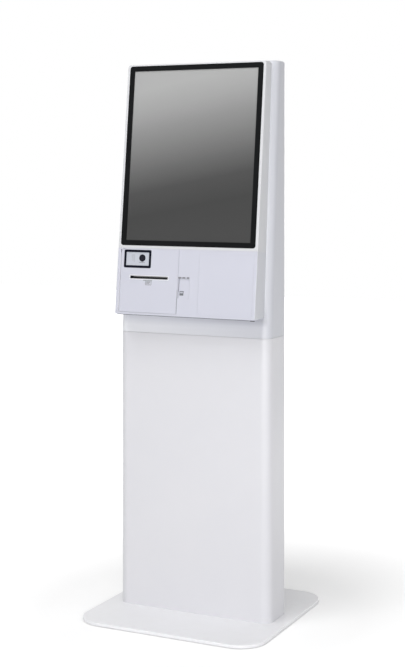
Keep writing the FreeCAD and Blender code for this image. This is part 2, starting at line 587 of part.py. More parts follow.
def screen_ring():
    w, f, b = RING_W / 2, RING_FLANGE, RING_BAR
    behind = FACE_WALL + 0.2
    ring = face_plate(-w, w, RING_FOOT, RING_TOP, -RING_PROUD, behind, RING_R)
    ring = ring.makeFillet(0.5, [e for e in ring.Edges if e.BoundBox.YMax < -RING_PROUD + 0.01])
    flange = face_plate(-w - f, w + f, RING_FOOT - f, RING_TOP + f, behind, behind + RING_FLANGE_T, RING_R)
    hole = face_plate(-w + b, w - b, RING_FOOT + b, RING_TOP - b, -5, 20, 1.5)
    lap = GLASS_LAP + FIT_GAP
    seat = face_plate(-w + b - lap, w - b + lap, RING_FOOT + b - lap, RING_TOP - b + lap, GLASS_SUNK, 20, 2.0)
    return on_face(ring.fuse(flange).removeSplitter().cut(hole).cut(seat))


def touch_glass():
    x = RING_W / 2 - RING_BAR + GLASS_LAP
    s0, s1 = RING_FOOT + RING_BAR - GLASS_LAP, RING_TOP - RING_BAR + GLASS_LAP
    return on_face(face_plate(-x, x, s0, s1, GLASS_SUNK, GLASS_SUNK + GLASS_T, 2.0))


def lcd_panel():
    x = RING_W / 2 - RING_BAR + PANEL_LAP
    s0, s1 = RING_FOOT + RING_BAR - PANEL_LAP, RING_TOP - RING_BAR + PANEL_LAP
    d0 = FACE_WALL + 0.2 + RING_FLANGE_T + 0.2
    tray = block(-x, x, d0, d0 + PANEL_T, s0, s1)
    driver = block(-70, 70, d0 + PANEL_T, d0 + PANEL_T + 6, s0 + 40, s0 + 110)
    glass = block(-x + 8, x - 8, GLASS_SUNK + GLASS_T, d0, s0 + 8, s1 - 8)
    return on_face(fuse(tray, driver, glass))


def display_rails():
    inner, outer, t = RING_W / 2 - RING_BAR + PANEL_LAP + 0.3, FACE_W / 2 - FACE_WALL - 1.5, 1.5
    d0 = FACE_WALL + 0.2 + RING_FLANGE_T + 0.2
    s0, s1 = RING_FOOT + 30, RING_TOP - 30
    rails = []
    for side in (-1, 1):
        xs = sorted((side * inner, side * outer))
        rail = block(xs[0], xs[1], d0, d0 + 12, s0, s1)
        rails.append(on_face(rail.cut(block(xs[0] + t, xs[1] - t, d0 + t, d0 + 13, s0 - 1, s1 + 1))))
    return group(*rails)


def speaker_holes():
    """Three rings of small holes in the chin's underside for each speaker."""
    holes = []
    for x0 in SPEAKER_XS:
        for k in range(3):
            for j in range(max(1, 6 * k)):
                a = 2 * math.pi * j / max(1, 6 * k)
                x, y = x0 + 7 * k * math.cos(a), SPEAKER_Y + 7 * k * math.sin(a)
                holes.append(rod(x, y, FACE_FOOT_Z - 1, 1.6, 6, (0, 0, 1)))
    return holes


def lower_front_cover():
    top, x, g, gap = SPLIT - SPLIT_GAP / 2, FACE_W / 2 - FACE_WALL + 0.5, DOOR_GAP, FIT_GAP
    rib = on_face(block(-x, x, FACE_WALL - 0.5, RIB_DEEP, top - RIB_T, top))
    shell = front_shell().common(face_slice(-50, top))
    shell = fuse(shell, rib, *front_bosses(FACE_FOOT_Z, FACE_FOOT_Z + SPLIT))
    x0, x1, foot = DOOR_LEFT - g, DOOR_RIGHT + g, DOOR_FOOT - g
    lug_x, deep = BARREL_X + LUG_HALF, 2 * BARREL_R + 1.5
    for hole in (block(lug_x, x1, -5, RIB_DEEP + 1, foot, SPLIT + 5),
                 block(x0, x1, -5, deep + 1.5, foot, DOOR_NOTCH_S)):
        shell = shell.cut(on_face(hole))
    lugs = [block(x0 - 1.0, lug_x, 1.0, deep, s0, s1) for s0, s1 in ((1.0, foot), (DOOR_NOTCH_S, top))]
    shell = fuse(shell, *[on_face(lug) for lug in lugs])
    pin_foot, pin_top = DOOR_FOOT - DOOR_PIN_REACH - 0.5, DOOR_NOTCH_S + DOOR_PIN_REACH + 0.5
    pin_bore = rod(BARREL_X, BARREL_R, pin_foot, DOOR_PIN_R + PIN_PLAY, pin_top - pin_foot, (0, 0, 1))
    card_hole = block(DOOR_RIGHT, CARD_X + CARD_W / 2 + gap, -5, FACE_WALL + 1, CARD_S - CARD_H / 2 - gap,
                      CARD_S + CARD_H / 2 + gap)
    blank_hole = face_plate(BLANK_LEFT - gap, BLANK_RIGHT + gap, BLANK_FOOT - gap, BLANK_TOP + gap, -5,
                            FACE_WALL + 1, 2.0)
    for hole in (pin_bore, card_hole, blank_hole):
        shell = shell.cut(on_face(hole))
    for hole in speaker_holes():
        shell = shell.cut(hole)
    return shell


# ---------------------------------------------------------------- scanner
def scanner_ring():
    w, h = SCAN_W / 2, SCAN_H / 2
    ring = face_plate(SCAN_X - w, SCAN_X + w, SCAN_S - h, SCAN_S + h, -SCAN_PROUD, FACE_WALL + 0.4, SCAN_R)
    ring = ring.makeFillet(0.4, [e for e in ring.Edges if e.BoundBox.YMax < -SCAN_PROUD + 0.01])
    w, h = w - SCAN_BAR, h - SCAN_BAR
    return on_face(ring.cut(face_plate(SCAN_X - w, SCAN_X + w, SCAN_S - h, SCAN_S + h, -5, 10, 1.0)))


def scanner_window():
    w, h = SCAN_W / 2 - SCAN_BAR - 0.1, SCAN_H / 2 - SCAN_BAR - 0.1
    pane = face_plate(SCAN_X - w, SCAN_X + w, SCAN_S - h, SCAN_S + h, 0.4, FACE_WALL + 0.4, 0.9)
    return on_face(pane.cut(rod(LENS_X, -1, LENS_S, LENS_R + 0.1, 10, (0, 1, 0))))


def scanner_lens():
    barrel = rod(LENS_X, 0.0, LENS_S, LENS_R, FACE_WALL + 0.4, (0, 1, 0))
    barrel = barrel.makeFillet(0.5, [e for e in barrel.Edges if e.BoundBox.YMax < 0.01])
    dish = Part.makeSphere(14.0, Vector(LENS_X, -13.0, LENS_S))
    return on_face(barrel.cut(dish))


def scanner_body():
    w, h, d0 = SCAN_W / 2 + 1.5, SCAN_H / 2 + 1.0, FACE_WALL + 0.4
    body = block(SCAN_X - w, SCAN_X + w, d0, d0 + SCAN_BODY_T, SCAN_S - h, SCAN_S + h)
    return on_face(body.makeFillet(2.0, [e for e in body.Edges if e.BoundBox.YMin > d0 + SCAN_BODY_T - 0.01]))


# ---------------------------------------------------------------- ticket door
def ticket_door():
    left, right, low, high = DOOR_LEFT + BARREL_R, DOOR_RIGHT, DOOR_FOOT, SPLIT - SPLIT_GAP / 2
    barrel_top, t, deep = DOOR_NOTCH_S - DOOR_GAP, DOOR_RIB, DOOR_RIB_DEEP
    door = fuse(block(left, right, 0, DOOR_T, low, barrel_top),
                block(DOOR_NOTCH_X, right, 0, DOOR_T, low, high),
                rod(BARREL_X, BARREL_R, low, BARREL_R, barrel_top - low, (0, 0, 1)),
                block(right - t, right, DOOR_T - 0.5, deep, low, high),
                block(left + 9.0, right, DOOR_T - 0.5, deep, low, low + t),
                block(left + 9.0, right, DOOR_T - 0.5, deep, high - t, high))
    w, h = SLOT_W / 2 + SLOT_RIM + 0.1, SLOT_H / 2 + SLOT_RIM + 0.1
    door = door.cut(block(SLOT_X - w, SLOT_X + w, -1, DOOR_T + 1, SLOT_S - h, SLOT_S + h))
    w, h = SCAN_W / 2 + FIT_GAP, SCAN_H / 2 + FIT_GAP
    door = door.cut(face_plate(SCAN_X - w, SCAN_X + w, SCAN_S - h, SCAN_S + h, -1, DOOR_T + 1, SCAN_R))
    return on_face(door.cut(rod(BARREL_X, BARREL_R, low - 1, DOOR_PIN_R, barrel_top - low + 2, (0, 0, 1))))


def door_hinge_pins():
    length = DOOR_PIN_REACH + 16.0
    foot = rod(BARREL_X, BARREL_R, DOOR_FOOT - DOOR_PIN_REACH, DOOR_PIN_R, length, (0, 0, 1))
    top = rod(BARREL_X, BARREL_R, DOOR_NOTCH_S + DOOR_PIN_REACH - length, DOOR_PIN_R, length, (0, 0, 1))
    return group(on_face(foot), on_face(top))


def ticket_slot_bezel():
    w, h = SLOT_W / 2, SLOT_H / 2
    r = SLOT_RIM
    outer = block(SLOT_X - w - r, SLOT_X + w + r, 0.2, SLOT_DEEP, SLOT_S - h - r, SLOT_S + h + r)
    flange = block(SLOT_X - w - 4, SLOT_X + w + 4, DOOR_T, DOOR_T + 2.0, SLOT_S - h - 4, SLOT_S + h + 4)
    throat = block(SLOT_X - w, SLOT_X + w, -1, SLOT_DEEP + 1, SLOT_S - h, SLOT_S + h)
    return on_face(fuse(outer, flange).cut(throat))


def door_catch():
    x0, x1, x2 = DOOR_RIGHT - 14, DOOR_RIGHT - DOOR_RIB - 0.7, DOOR_RIGHT + 12
    d0, s0, s1 = DOOR_RIB_DEEP + 2.0, 24, 40
    magnet = block(x0, x1, DOOR_T + FIT_GAP, d0 + 6, s0, s1)
    arm = block(x0, x2, d0, d0 + 6, s0, s1)
    foot = block(DOOR_RIGHT + 3, x2, FACE_WALL, d0 + 6, s0, s1)
    return on_face(fuse(magnet, arm, foot))


# ---------------------------------------------------------------- card slot and blank plate
def card_slot_bezel():
    x0, x1 = CARD_X - CARD_W / 2, CARD_X + CARD_W / 2
    s0, s1 = CARD_S - CARD_H / 2, CARD_S + CARD_H / 2
    plate = face_plate(x0, x1, s0, s1, 0, FACE_WALL + 0.2, 1.0)
    flange = block(x0, x1 + 3, FACE_WALL, FACE_WALL + 2.0, s0 - 3, s1 + 3)
    bezel = fuse(plate, flange)
    slit_x = x0 + CARD_SLIT_INSET
    slit = block(slit_x, slit_x + CARD_SLIT, -1, 20, CARD_S - CARD_SLIT_H / 2, CARD_S + CARD_SLIT_H / 2)
    top, foot, right = s1 - 2.0, s0 + 19.0, x1 - 1.5
    outline = [Vector(x, 0, z) for x, z in ((slit_x, top), (right, top), (right - 4.5, foot), (slit_x, foot))]
    pocket = Part.Face(Part.makePolygon(outline + outline[:1])).extrude(Vector(0, CARD_POCKET, 0))
    return on_face(bezel.cut(slit).cut(pocket))


def card_reader_body():
    x0, x1 = CARD_X - CARD_W / 2 + 0.6, CARD_X + CARD_W / 2
    s0, s1 = CARD_S - CARD_H / 2 + 0.5, CARD_S + CARD_H / 2 + 2
    d0 = FACE_WALL + 2.0
    body = block(x0, x1, d0, d0 + CARD_BODY_DEEP, s0, s1)
    slit_x = CARD_X - CARD_W / 2 + CARD_SLIT_INSET
    deep = block(slit_x, slit_x + CARD_SLIT, d0 - 1, d0 + CARD_BODY_DEEP - 6, CARD_S - CARD_SLIT_H / 2,
                 CARD_S + CARD_SLIT_H / 2)
    return on_face(body.cut(deep))


def terminal_blank():
    f = BLANK_FLANGE
    plate = face_plate(BLANK_LEFT, BLANK_RIGHT, BLANK_FOOT, BLANK_TOP, 0, FACE_WALL + 0.1, 1.7)
    flange = face_plate(BLANK_LEFT - f, BLANK_RIGHT + f, BLANK_FOOT - f, BLANK_TOP + f, FACE_WALL,
                        FACE_WALL + BLANK_FLANGE_T, 2.0)
    return on_face(fuse(plate, flange))


def speakers():
    made = []
    for x in SPEAKER_XS:
        z = FACE_FOOT_Z + FACE_WALL + 0.1
        rim = rod(x, SPEAKER_Y, z, SPEAKER_R, 3.0, (0, 0, 1))
        cone = Part.makeCone(SPEAKER_R - 2, 11.0, SPEAKER_T - 5, Vector(x, SPEAKER_Y, z + 3), Vector(0, 0, 1))
        magnet = rod(x, SPEAKER_Y, z + SPEAKER_T - 2, 12.0, 6.0, (0, 0, 1))
        made.append(fuse(rim, cone, magnet))
    return group(*made)


# ---------------------------------------------------------------- inner frame and electronics
def frame_plate():
    y1 = UPRIGHT_Y - TUBE / 2
    x, z0, z1 = UPRIGHT_X + TUBE / 2 - 1, 1040.0, 1480.0
    plate = block(-x, x, y1 - 2, y1, z0, z1)
    for z in (z0 + 50, z1 - 110):
        plate = plate.cut(face_plate(-150, -110, z, z + 60, -10, 10, 5.0))
    return plate


def controller_board():
    y0 = UPRIGHT_Y - TUBE / 2 + 5.0
    board = block(-120, 60, y0, y0 + 1.6, 1170, 1300)
    parts = [block(-110, -80, y0 + 1.6, y0 + 14, 1180, 1196), block(-70, -40, y0 + 1.6, y0 + 14, 1180, 1196),
             block(20, 34, y0 + 1.6, y0 + 8, 1200, 1270), block(38, 52, y0 + 1.6, y0 + 8, 1200, 1270)]
    stands = [rod(x, y0 - 5, z, 3, 5, (0, 1, 0)) for x in (-112, 52) for z in (1176, 1294)]
    return fuse(board, *parts, *stands)


def fan_housing():
    h = FAN_SIZE / 2
    y1 = COLUMN_REAR - COVER_T
    y0 = y1 - FAN_T
    frame = block(FAN_X - h, FAN_X + h, y0, y1, FAN_Z - h, FAN_Z + h)
    frame = frame.makeFillet(4.0, [e for e in frame.Edges if abs(e.BoundBox.YLength - FAN_T) < 0.01])
    frame = frame.cut(rod(FAN_X, y0 - 1, FAN_Z, FAN_BLADE_R + 1, FAN_T + 2, (0, 1, 0)))
    spokes = [block(FAN_X - 1.5, FAN_X + 1.5, y0, y0 + 1.5, FAN_Z, FAN_Z + h - 1) for k in range(3)]
    for k, spoke in enumerate(spokes):
        spoke.rotate(Vector(FAN_X, 0, FAN_Z), Vector(0, 1, 0), 30 + 120 * k)
    seat = rod(FAN_X, y0, FAN_Z, 11.0, 1.5, (0, 1, 0))
    pin = rod(FAN_X, y0, FAN_Z, 1.5, 9.0, (0, 1, 0))
    return fuse(frame, seat, pin, *spokes)


def fan_rotor():
    y0 = COLUMN_REAR - COVER_T - FAN_T + 2.0
    hub = rod(FAN_X, y0, FAN_Z, 12.0, 10.5, (0, 1, 0))
    blades = []
    for k in range(FAN_BLADES):
        blade = block(FAN_X - 0.6, FAN_X + 0.6, y0 - 1.0, y0 + 10.0, FAN_Z + 10.5, FAN_Z + FAN_BLADE_R)
        blade.rotate(Vector(FAN_X, y0 + 4.5, FAN_Z), Vector(0, 0, 1), 50)
        blade = blade.common(block(FAN_X - 20, FAN_X + 20, y0, y0 + 10.5, FAN_Z, FAN_Z + 40))
        blade.rotate(Vector(FAN_X, 0, FAN_Z), Vector(0, 1, 0), 360.0 * k / FAN_BLADES)
        blades.append(blade)
    rotor = fuse(hub, *blades).common(rod(FAN_X, y0 - 1, FAN_Z, FAN_BLADE_R, 20, (0, 1, 0)))
    return rotor.cut(rod(FAN_X, y0 - 1, FAN_Z, 1.5 + PIN_PLAY, 8.2, (0, 1, 0)))


def power_inlet():
    x0, x1 = SOCKET_X - SOCKET_W / 2, SOCKET_X + SOCKET_W / 2
    z0, z1 = SOCKET_Z - SOCKET_H / 2, SOCKET_Z + SOCKET_H / 2
    body = block(x0, x1, COLUMN_REAR - 22, COLUMN_REAR + 2, z0, z1)
    flange = block(x0 - 4, x1 + 4, COLUMN_REAR, COLUMN_REAR + 2, z0 - 3, z1 + 3)
    well = block(x0 + 3, x1 - 3, COLUMN_REAR - 14, COLUMN_REAR + 3, z0 + 3, z1 - 3)
    pins = [block(x - 2, x + 2, COLUMN_REAR - 15, COLUMN_REAR - 3, SOCKET_Z - 1, SOCKET_Z + 1)
            for x in (SOCKET_X - 7, SOCKET_X, SOCKET_X + 7)]
    return fuse(fuse(body, flange).cut(well), *pins)


def switch_frame():
    w, h, y = SWITCH_W / 2, SWITCH_H / 2, COLUMN_REAR
    rim, body, well = [block(SWITCH_X - w + e, SWITCH_X + w - e, y + y0, y + y1, SOCKET_Z - h + e,
                             SOCKET_Z + h - e) for e, y0, y1 in ((0, 0, 2), (2, -14, 2), (4, -10, 3))]
    pin = rod(SWITCH_X - w + 3, y - 4, SOCKET_Z, 1.5, 2 * w - 6, (1, 0, 0))
    return fuse(fuse(rim, body).cut(well), pin)


def rocker():
    """The rocker in its off position, leaning by ROCKER_LEAN about its pin."""
    w, h = SWITCH_W / 2 - 4.4, SWITCH_H / 2 - 5.4
    y0 = COLUMN_REAR - 4
    body = block(SWITCH_X - w, SWITCH_X + w, y0 - 4, COLUMN_REAR + 2.5, SOCKET_Z - h, SOCKET_Z + h)
    body = body.cut(rod(SWITCH_X - 20, COLUMN_REAR + 17, SOCKET_Z, 16.0, 40, (1, 0, 0)))
    body = body.cut(rod(SWITCH_X - 20, y0, SOCKET_Z, 1.5 + PIN_PLAY, 40, (1, 0, 0)))
    body.rotate(Vector(SWITCH_X, y0, SOCKET_Z), Vector(1, 0, 0), -ROCKER_LEAN)
    return body


# ---------------------------------------------------------------- ticket printer
def printer_shelf():
    x = UPRIGHT_X + TUBE / 2 - 1
    y1 = UPRIGHT_Y - TUBE / 2
    deck = block(1 - FRONT_OPEN_X, SHELF_RIGHT, SHELF_FRONT_Y, y1, SHELF_Z, SHELF_Z + SHELF_T)
    back = block(-x, x, y1 - SHELF_T, y1, SHELF_Z, SHELF_Z + 40)
    wing = block(CHASSIS_LEFT, CHASSIS_RIGHT, y1 - 1, CHASSIS_REAR_Y, SHELF_Z, SHELF_Z + SHELF_T)
    shelf = fuse(deck, back, wing)
    z = SHELF_Z + SHELF_T
    return shelf.cut(block(CHASSIS_LEFT - 1, CHASSIS_RIGHT + 1, y1 - SHELF_T - 1, y1 + 1, z, z + 50))


def printer_chassis():
    z0, t = SHELF_Z + SHELF_T, CHASSIS_T
    floor = block(CHASSIS_LEFT, CHASSIS_RIGHT, CHASSIS_FRONT_Y, CHASSIS_REAR_Y, z0, z0 + t)
    left = block(CHASSIS_LEFT, CHASSIS_LEFT + t, CHASSIS_FRONT_Y, CHASSIS_REAR_Y, z0, CHASSIS_TOP)
    right = block(CHASSIS_RIGHT - t, CHASSIS_RIGHT, CHASSIS_FRONT_Y, CHASSIS_REAR_Y, z0, CHASSIS_TOP)
    ear = [rod(x, LID_PIVOT_Y, LID_PIVOT_Z, 8.0, t, (1, 0, 0)) for x in (CHASSIS_LEFT, CHASSIS_RIGHT - t)]
    chassis = fuse(floor, left, right, *ear)
    x, length = CHASSIS_LEFT - 1, CHASSIS_RIGHT - CHASSIS_LEFT + 2
    chassis = chassis.cut(rod(x, ROLL_Y, ROLL_Z, SPINDLE_END_R, length, (1, 0, 0)))
    chassis = chassis.cut(rod(x, LID_PIVOT_Y, LID_PIVOT_Z, AXLE_R, length, (1, 0, 0)))
    half = AXLE_R + 0.8
    return chassis.cut(block(CHASSIS_RIGHT - t - 1, CHASSIS_RIGHT + 1, PLATEN_Y - half, PLATEN_Y + half,
                             PLATEN_Z - half, CHASSIS_TOP + 9))


def roll_spindle():
    x0, x1 = CHASSIS_LEFT + CHASSIS_T, CHASSIS_RIGHT - CHASSIS_T
    bar = rod(x0, ROLL_Y, ROLL_Z, CORE_R - PIN_PLAY, x1 - x0, (1, 0, 0))
    ends = rod(CHASSIS_LEFT, ROLL_Y, ROLL_Z, SPINDLE_END_R, CHASSIS_RIGHT - CHASSIS_LEFT, (1, 0, 0))
    return fuse(bar, ends)


def paper_roll():
    x0 = SLOT_X - ROLL_W / 2
    return tube(x0, ROLL_Y, ROLL_Z, ROLL_R, CORE_R, ROLL_W, (1, 0, 0))


def lid_pivot_pin():
    return rod(CHASSIS_LEFT, LID_PIVOT_Y, LID_PIVOT_Z, AXLE_R, CHASSIS_RIGHT - CHASSIS_LEFT, (1, 0, 0))


LID_SIDE_GAP = 2.5


def printer_lid():
    x0, x1 = CHASSIS_LEFT + CHASSIS_T + LID_SIDE_GAP, CHASSIS_RIGHT - CHASSIS_T - LID_SIDE_GAP
    z1, z0 = LID_PIVOT_Z + 6.0, PLATEN_Z - 5.0
    top = block(x0, x1, LID_FRONT_Y, LID_PIVOT_Y + 4, z1 - LID_T, z1)
    left = block(x0, x0 + LID_T, LID_FRONT_Y, LID_PIVOT_Y + 4, z0, z1)
    right = block(x1 - LID_T, x1, LID_FRONT_Y, LID_PIVOT_Y + 4, z0, z1)
    lip = block(x0, x1, LID_FRONT_Y, LID_FRONT_Y + LID_T, z1 - 5, z1)
    lid = fuse(top, left, right, lip)
    lid = lid.cut(rod(x0 - 1, LID_PIVOT_Y, LID_PIVOT_Z, AXLE_R + PIN_PLAY, x1 - x0 + 2, (1, 0, 0)))
    return lid.cut(rod(x0 - 1, PLATEN_Y, PLATEN_Z, AXLE_R + PIN_PLAY, x1 - x0 + 2, (1, 0, 0)))


def platen_axle():
    """The steel axle with its toothed wheel, which the pinion drives when the lid is shut."""
    x0 = CHASSIS_LEFT + CHASSIS_T + 0.5
    axle = rod(x0, PLATEN_Y, PLATEN_Z, AXLE_R, GEAR_X + GEAR_W - x0, (1, 0, 0))
    return fuse(axle, gear(PLATEN_TEETH, AXLE_R - 0.5, GEAR_W, PINION_BEARING, GEAR_X, PLATEN_Y, PLATEN_Z))


def platen_sleeve():
    x0, x1 = SLOT_X - SLOT_W / 2, SLOT_X + SLOT_W / 2
    return tube(x0, PLATEN_Y, PLATEN_Z, PLATEN_R, AXLE_R, x1 - x0, (1, 0, 0))


SHAFT_R = 1.5


def motor_pinion():
    gap_phase = PINION_BEARING + math.pi + math.pi / PINION_TEETH
    wheel = gear(PINION_TEETH, SHAFT_R - 0.5, GEAR_W, gap_phase, GEAR_X, PINION_Y, PINION_Z)
    shaft = rod(GEAR_X, PINION_Y, PINION_Z, SHAFT_R, GEAR_PLATE_X + 3.0 - GEAR_X, (1, 0, 0))
    return fuse(wheel, shaft)


def gear_plate():
    y0, y1, z0, z1 = PLATEN_Y - 22.0, PLATEN_Y + 34.0, PLATEN_Z - 34.0, PLATEN_Z + 4.0
    plate = block(GEAR_PLATE_X, GEAR_PLATE_X + 1.5, y0, y1, z0, z1)
    places = ((y0 + 6, z0 + 6), (y1 - 6, z0 + 6), (y1 - 6, z1 - 6))
    spacers = [rod(CHASSIS_RIGHT, y, z, 3.0, GEAR_PLATE_X - CHASSIS_RIGHT, (1, 0, 0)) for y, z in places]
    return fuse(plate, *spacers).cut(rod(GEAR_PLATE_X - 1, PINION_Y, PINION_Z, 3.0, 4, (1, 0, 0)))


def drive_motor():
    x0 = GEAR_PLATE_X + 1.5
    can = rod(x0, PINION_Y, PINION_Z, MOTOR_R, MOTOR_T, (1, 0, 0))
    can = can.makeFillet(1.5, [e for e in can.Edges if e.BoundBox.XMin > x0 + MOTOR_T - 0.01])
    return can.cut(rod(x0 - 1, PINION_Y, PINION_Z, SHAFT_R + PIN_PLAY, 4.0, (1, 0, 0)))


def print_head():
    """The heating line on its finned heat sink, 0.3 mm below the platen."""
    x0, x1 = CHASSIS_LEFT + CHASSIS_T, CHASSIS_RIGHT - CHASSIS_T
    z1 = PAPER_Z - 5.0
    sink = block(x0, x1, PLATEN_Y - 8, PLATEN_Y + 10, z1 - 12, z1)
    for k in range(4):
        y = PLATEN_Y - 5 + 4 * k
        sink = sink.cut(block(x0 + 8, x1 - 8, y, y + 1.6, z1 - 13, z1 - 4))
    w = SLOT_W / 2 - 4
    return fuse(sink, block(SLOT_X - w, SLOT_X + w, PLATEN_Y - 8, PLATEN_Y + 8, z1, PAPER_Z - 0.3))


def cutter_frame():
    """The frame that the blade slides in, with a guide that leads the paper to the slot."""
    x0, x1, w, half = CHASSIS_LEFT + CHASSIS_T, CHASSIS_RIGHT - CHASSIS_T, SLOT_W / 2, PAPER_THROAT / 2
    frame = block(x0, x1, CUTTER_FRONT_Y, CUTTER_REAR_Y, CUTTER_FOOT, CUTTER_TOP)
    y0 = CUTTER_FRONT_Y - GUIDE_LONG
    frame = fuse(frame, block(SLOT_X - w - 3, SLOT_X + w + 3, y0, CUTTER_FRONT_Y, PAPER_Z - 6, PAPER_Z + 6))
    throat = block(SLOT_X - w, SLOT_X + w, y0 - 1, CUTTER_REAR_Y + 1, PAPER_Z - half, PAPER_Z + half)
    y, half = (CUTTER_FRONT_Y + CUTTER_REAR_Y) / 2, BLADE_T / 2 + BLADE_PLAY
    track = block(SLOT_X - w - 1, SLOT_X + w + 1, y - half, y + half, PAPER_Z - 4, CUTTER_TOP + 1)
    return frame.cut(throat).cut(track)


def cutter_blade():
    w = SLOT_W / 2 + 0.5
    y0 = (CUTTER_FRONT_Y + CUTTER_REAR_Y) / 2 - BLADE_T / 2
    blade = block(SLOT_X - w, SLOT_X + w, y0, y0 + BLADE_T, BLADE_UP, BLADE_UP + BLADE_H)
    corners = [Vector(SLOT_X + dx, y0, BLADE_UP + dz) for dx, dz in ((-w - 1, -1), (0, 1.6), (w + 1, -1))]
    return blade.cut(Part.Face(Part.makePolygon(corners + corners[:1])).extrude(Vector(0, BLADE_T, 0)))


# ---------------------------------------------------------------- every node, and the files
NODES = {
    "base_plate": base_plate, "floor_pads": floor_pads, "cable_grommet": cable_grommet,
    "pedestal_shell": pedestal_shell, "upright_left": partial(upright, -1),
    "upright_right": partial(upright, 1), "foot_flanges": foot_flanges, "foot_bolts": foot_bolts,
    "tie_bars": tie_bars, "top_crossbar": top_crossbar, "power_supply": power_supply,
    "power_inlet": power_inlet, "switch_frame": switch_frame, "rocker": rocker, "rear_door": rear_door,
    "rear_hinge_leaves": rear_hinge_leaves, "rear_door_leaves": rear_door_leaves,
    "rear_hinge_pins": rear_hinge_pins, "rear_door_lock": rear_door_lock, "lock_cam": lock_cam,
    "head_housing": head_housing, "head_rear_cover": head_rear_cover,
    "rear_cover_screws": rear_cover_screws, "front_screws": front_screws, "display_bezel": display_bezel,
    "screen_ring": screen_ring, "touch_glass": touch_glass, "lcd_panel": lcd_panel,
    "display_rails": display_rails, "lower_front_cover": lower_front_cover, "scanner_ring": scanner_ring,
    "scanner_window": scanner_window, "scanner_lens": scanner_lens, "scanner_body": scanner_body,
    "ticket_door": ticket_door, "door_hinge_pins": door_hinge_pins, "ticket_slot_bezel": ticket_slot_bezel,
    "door_catch": door_catch, "card_slot_bezel": card_slot_bezel, "card_reader_body": card_reader_body,
    "terminal_blank": terminal_blank, "speakers": speakers, "frame_plate": frame_plate,
    "controller_board": controller_board, "fan_housing": fan_housing, "fan_rotor": fan_rotor,
    "printer_shelf": printer_shelf, "printer_chassis": printer_chassis, "roll_spindle": roll_spindle,
    "paper_roll": paper_roll, "printer_lid": printer_lid, "lid_pivot_pin": lid_pivot_pin,
    "platen_axle": platen_axle, "platen_sleeve": platen_sleeve, "motor_pinion": motor_pinion,
    "gear_plate": gear_plate, "drive_motor": drive_motor, "print_head": print_head,
    "cutter_frame": cutter_frame, "cutter_blade": cutter_blade,
}


def main():
    os.makedirs("parts", exist_ok=True)
    for name, make in NODES.items():
        shape = make()
        solids = shape.Solids
        if not solids or not all(s.isValid() for s in solids):
            raise RuntimeError(f"{name} isn't made of valid solids")
        out = solids[0] if len(solids) == 1 else Part.makeCompound(solids)
        out.exportStep(f"parts/{name}.step")
        print(name, len(solids), "solids", round(sum(s.Volume for s in solids) / 1000.0, 2), "cm3")


main()
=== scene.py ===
import bpy
import bmesh
import math
from mathutils import Matrix, Vector


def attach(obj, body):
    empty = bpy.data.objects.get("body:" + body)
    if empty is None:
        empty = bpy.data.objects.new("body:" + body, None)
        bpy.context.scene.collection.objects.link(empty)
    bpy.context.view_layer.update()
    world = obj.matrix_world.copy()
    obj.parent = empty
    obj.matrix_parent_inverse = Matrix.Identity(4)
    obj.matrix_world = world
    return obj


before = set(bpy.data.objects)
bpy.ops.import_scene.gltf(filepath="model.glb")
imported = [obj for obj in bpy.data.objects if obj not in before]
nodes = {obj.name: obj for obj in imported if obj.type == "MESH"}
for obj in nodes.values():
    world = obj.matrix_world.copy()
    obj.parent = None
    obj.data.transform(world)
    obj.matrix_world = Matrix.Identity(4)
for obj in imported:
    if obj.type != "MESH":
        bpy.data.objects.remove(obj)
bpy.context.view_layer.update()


# ---------------------------------------------------------------------------------------------------
# Camera. It stands a little to the right of the kiosk at chest height, and looks slightly down.
# The long lens keeps the column's sides nearly parallel.
SENSOR, FOCAL_LENGTH, LENS_RISE = 36, 75.13971, -0.22
CAMERA_PLACE = (1.7167772, -3.5212468, 1.2422753)
TURN, DIP = math.radians(26.0198), math.radians(0.7326)
scene = bpy.context.scene
lens = bpy.data.cameras.new("studio_camera")
lens.sensor_width = SENSOR
lens.lens = FOCAL_LENGTH
lens.shift_x, lens.shift_y = 0, LENS_RISE
camera = bpy.data.objects.new("studio_camera", lens)
scene.collection.objects.link(camera)
camera.location = CAMERA_PLACE
ahead = Vector((-math.sin(TURN) * math.cos(DIP), math.cos(TURN) * math.cos(DIP), -math.sin(DIP)))
camera.rotation_euler = ahead.to_track_quat("-Z", "Y").to_euler()
scene.camera = camera
scene.view_settings.view_transform = "Standard"


# ---------------------------------------------------------------------------------------------------
# Studio. A wide pale floor in a white room, with five soft lamps: high on the left, overhead, low in
# front, a narrow upright one on the right that draws the light line down the rounded corner, and one
# behind.
def fit(tree, kind, inputs=(), **settings):
    """Adds a node. Its sockets take a plain value or another node's output."""
    node = tree.nodes.new("ShaderNode" + kind)
    for key, value in settings.items():
        setattr(node, key, value)
    for key, value in dict(inputs).items():
        if isinstance(value, bpy.types.NodeSocket):
            tree.links.new(value, node.inputs[key])
        else:
            node.inputs[key].default_value = value
    return node


def ramp(tree, value, low=0.0, high=1.0, start=0.0, end=1.0, **settings):
    """Goes from low to high while the value goes from start to end."""
    limits = {"Value": value, "From Min": start, "From Max": end, "To Min": low, "To Max": high}
    return fit(tree, "MapRange", limits, **settings).outputs[0]


def times(tree, first, second):
    """The product of two values."""
    return fit(tree, "Math", {0: first, 1: second}, operation="MULTIPLY").outputs[0]


def seen_rays(tree):
    """1 for rays that come straight from the eye, off a mirror or through glass, 0 for the others."""
    path = fit(tree, "LightPath").outputs
    direct = fit(tree, "Math", {0: path["Is Camera Ray"], 1: path["Is Glossy Ray"]}, operation="MAXIMUM")
    seen = fit(tree, "Math", {0: direct.outputs[0], 1: path["Is Transmission Ray"]}, operation="MAXIMUM")
    return seen.outputs[0]


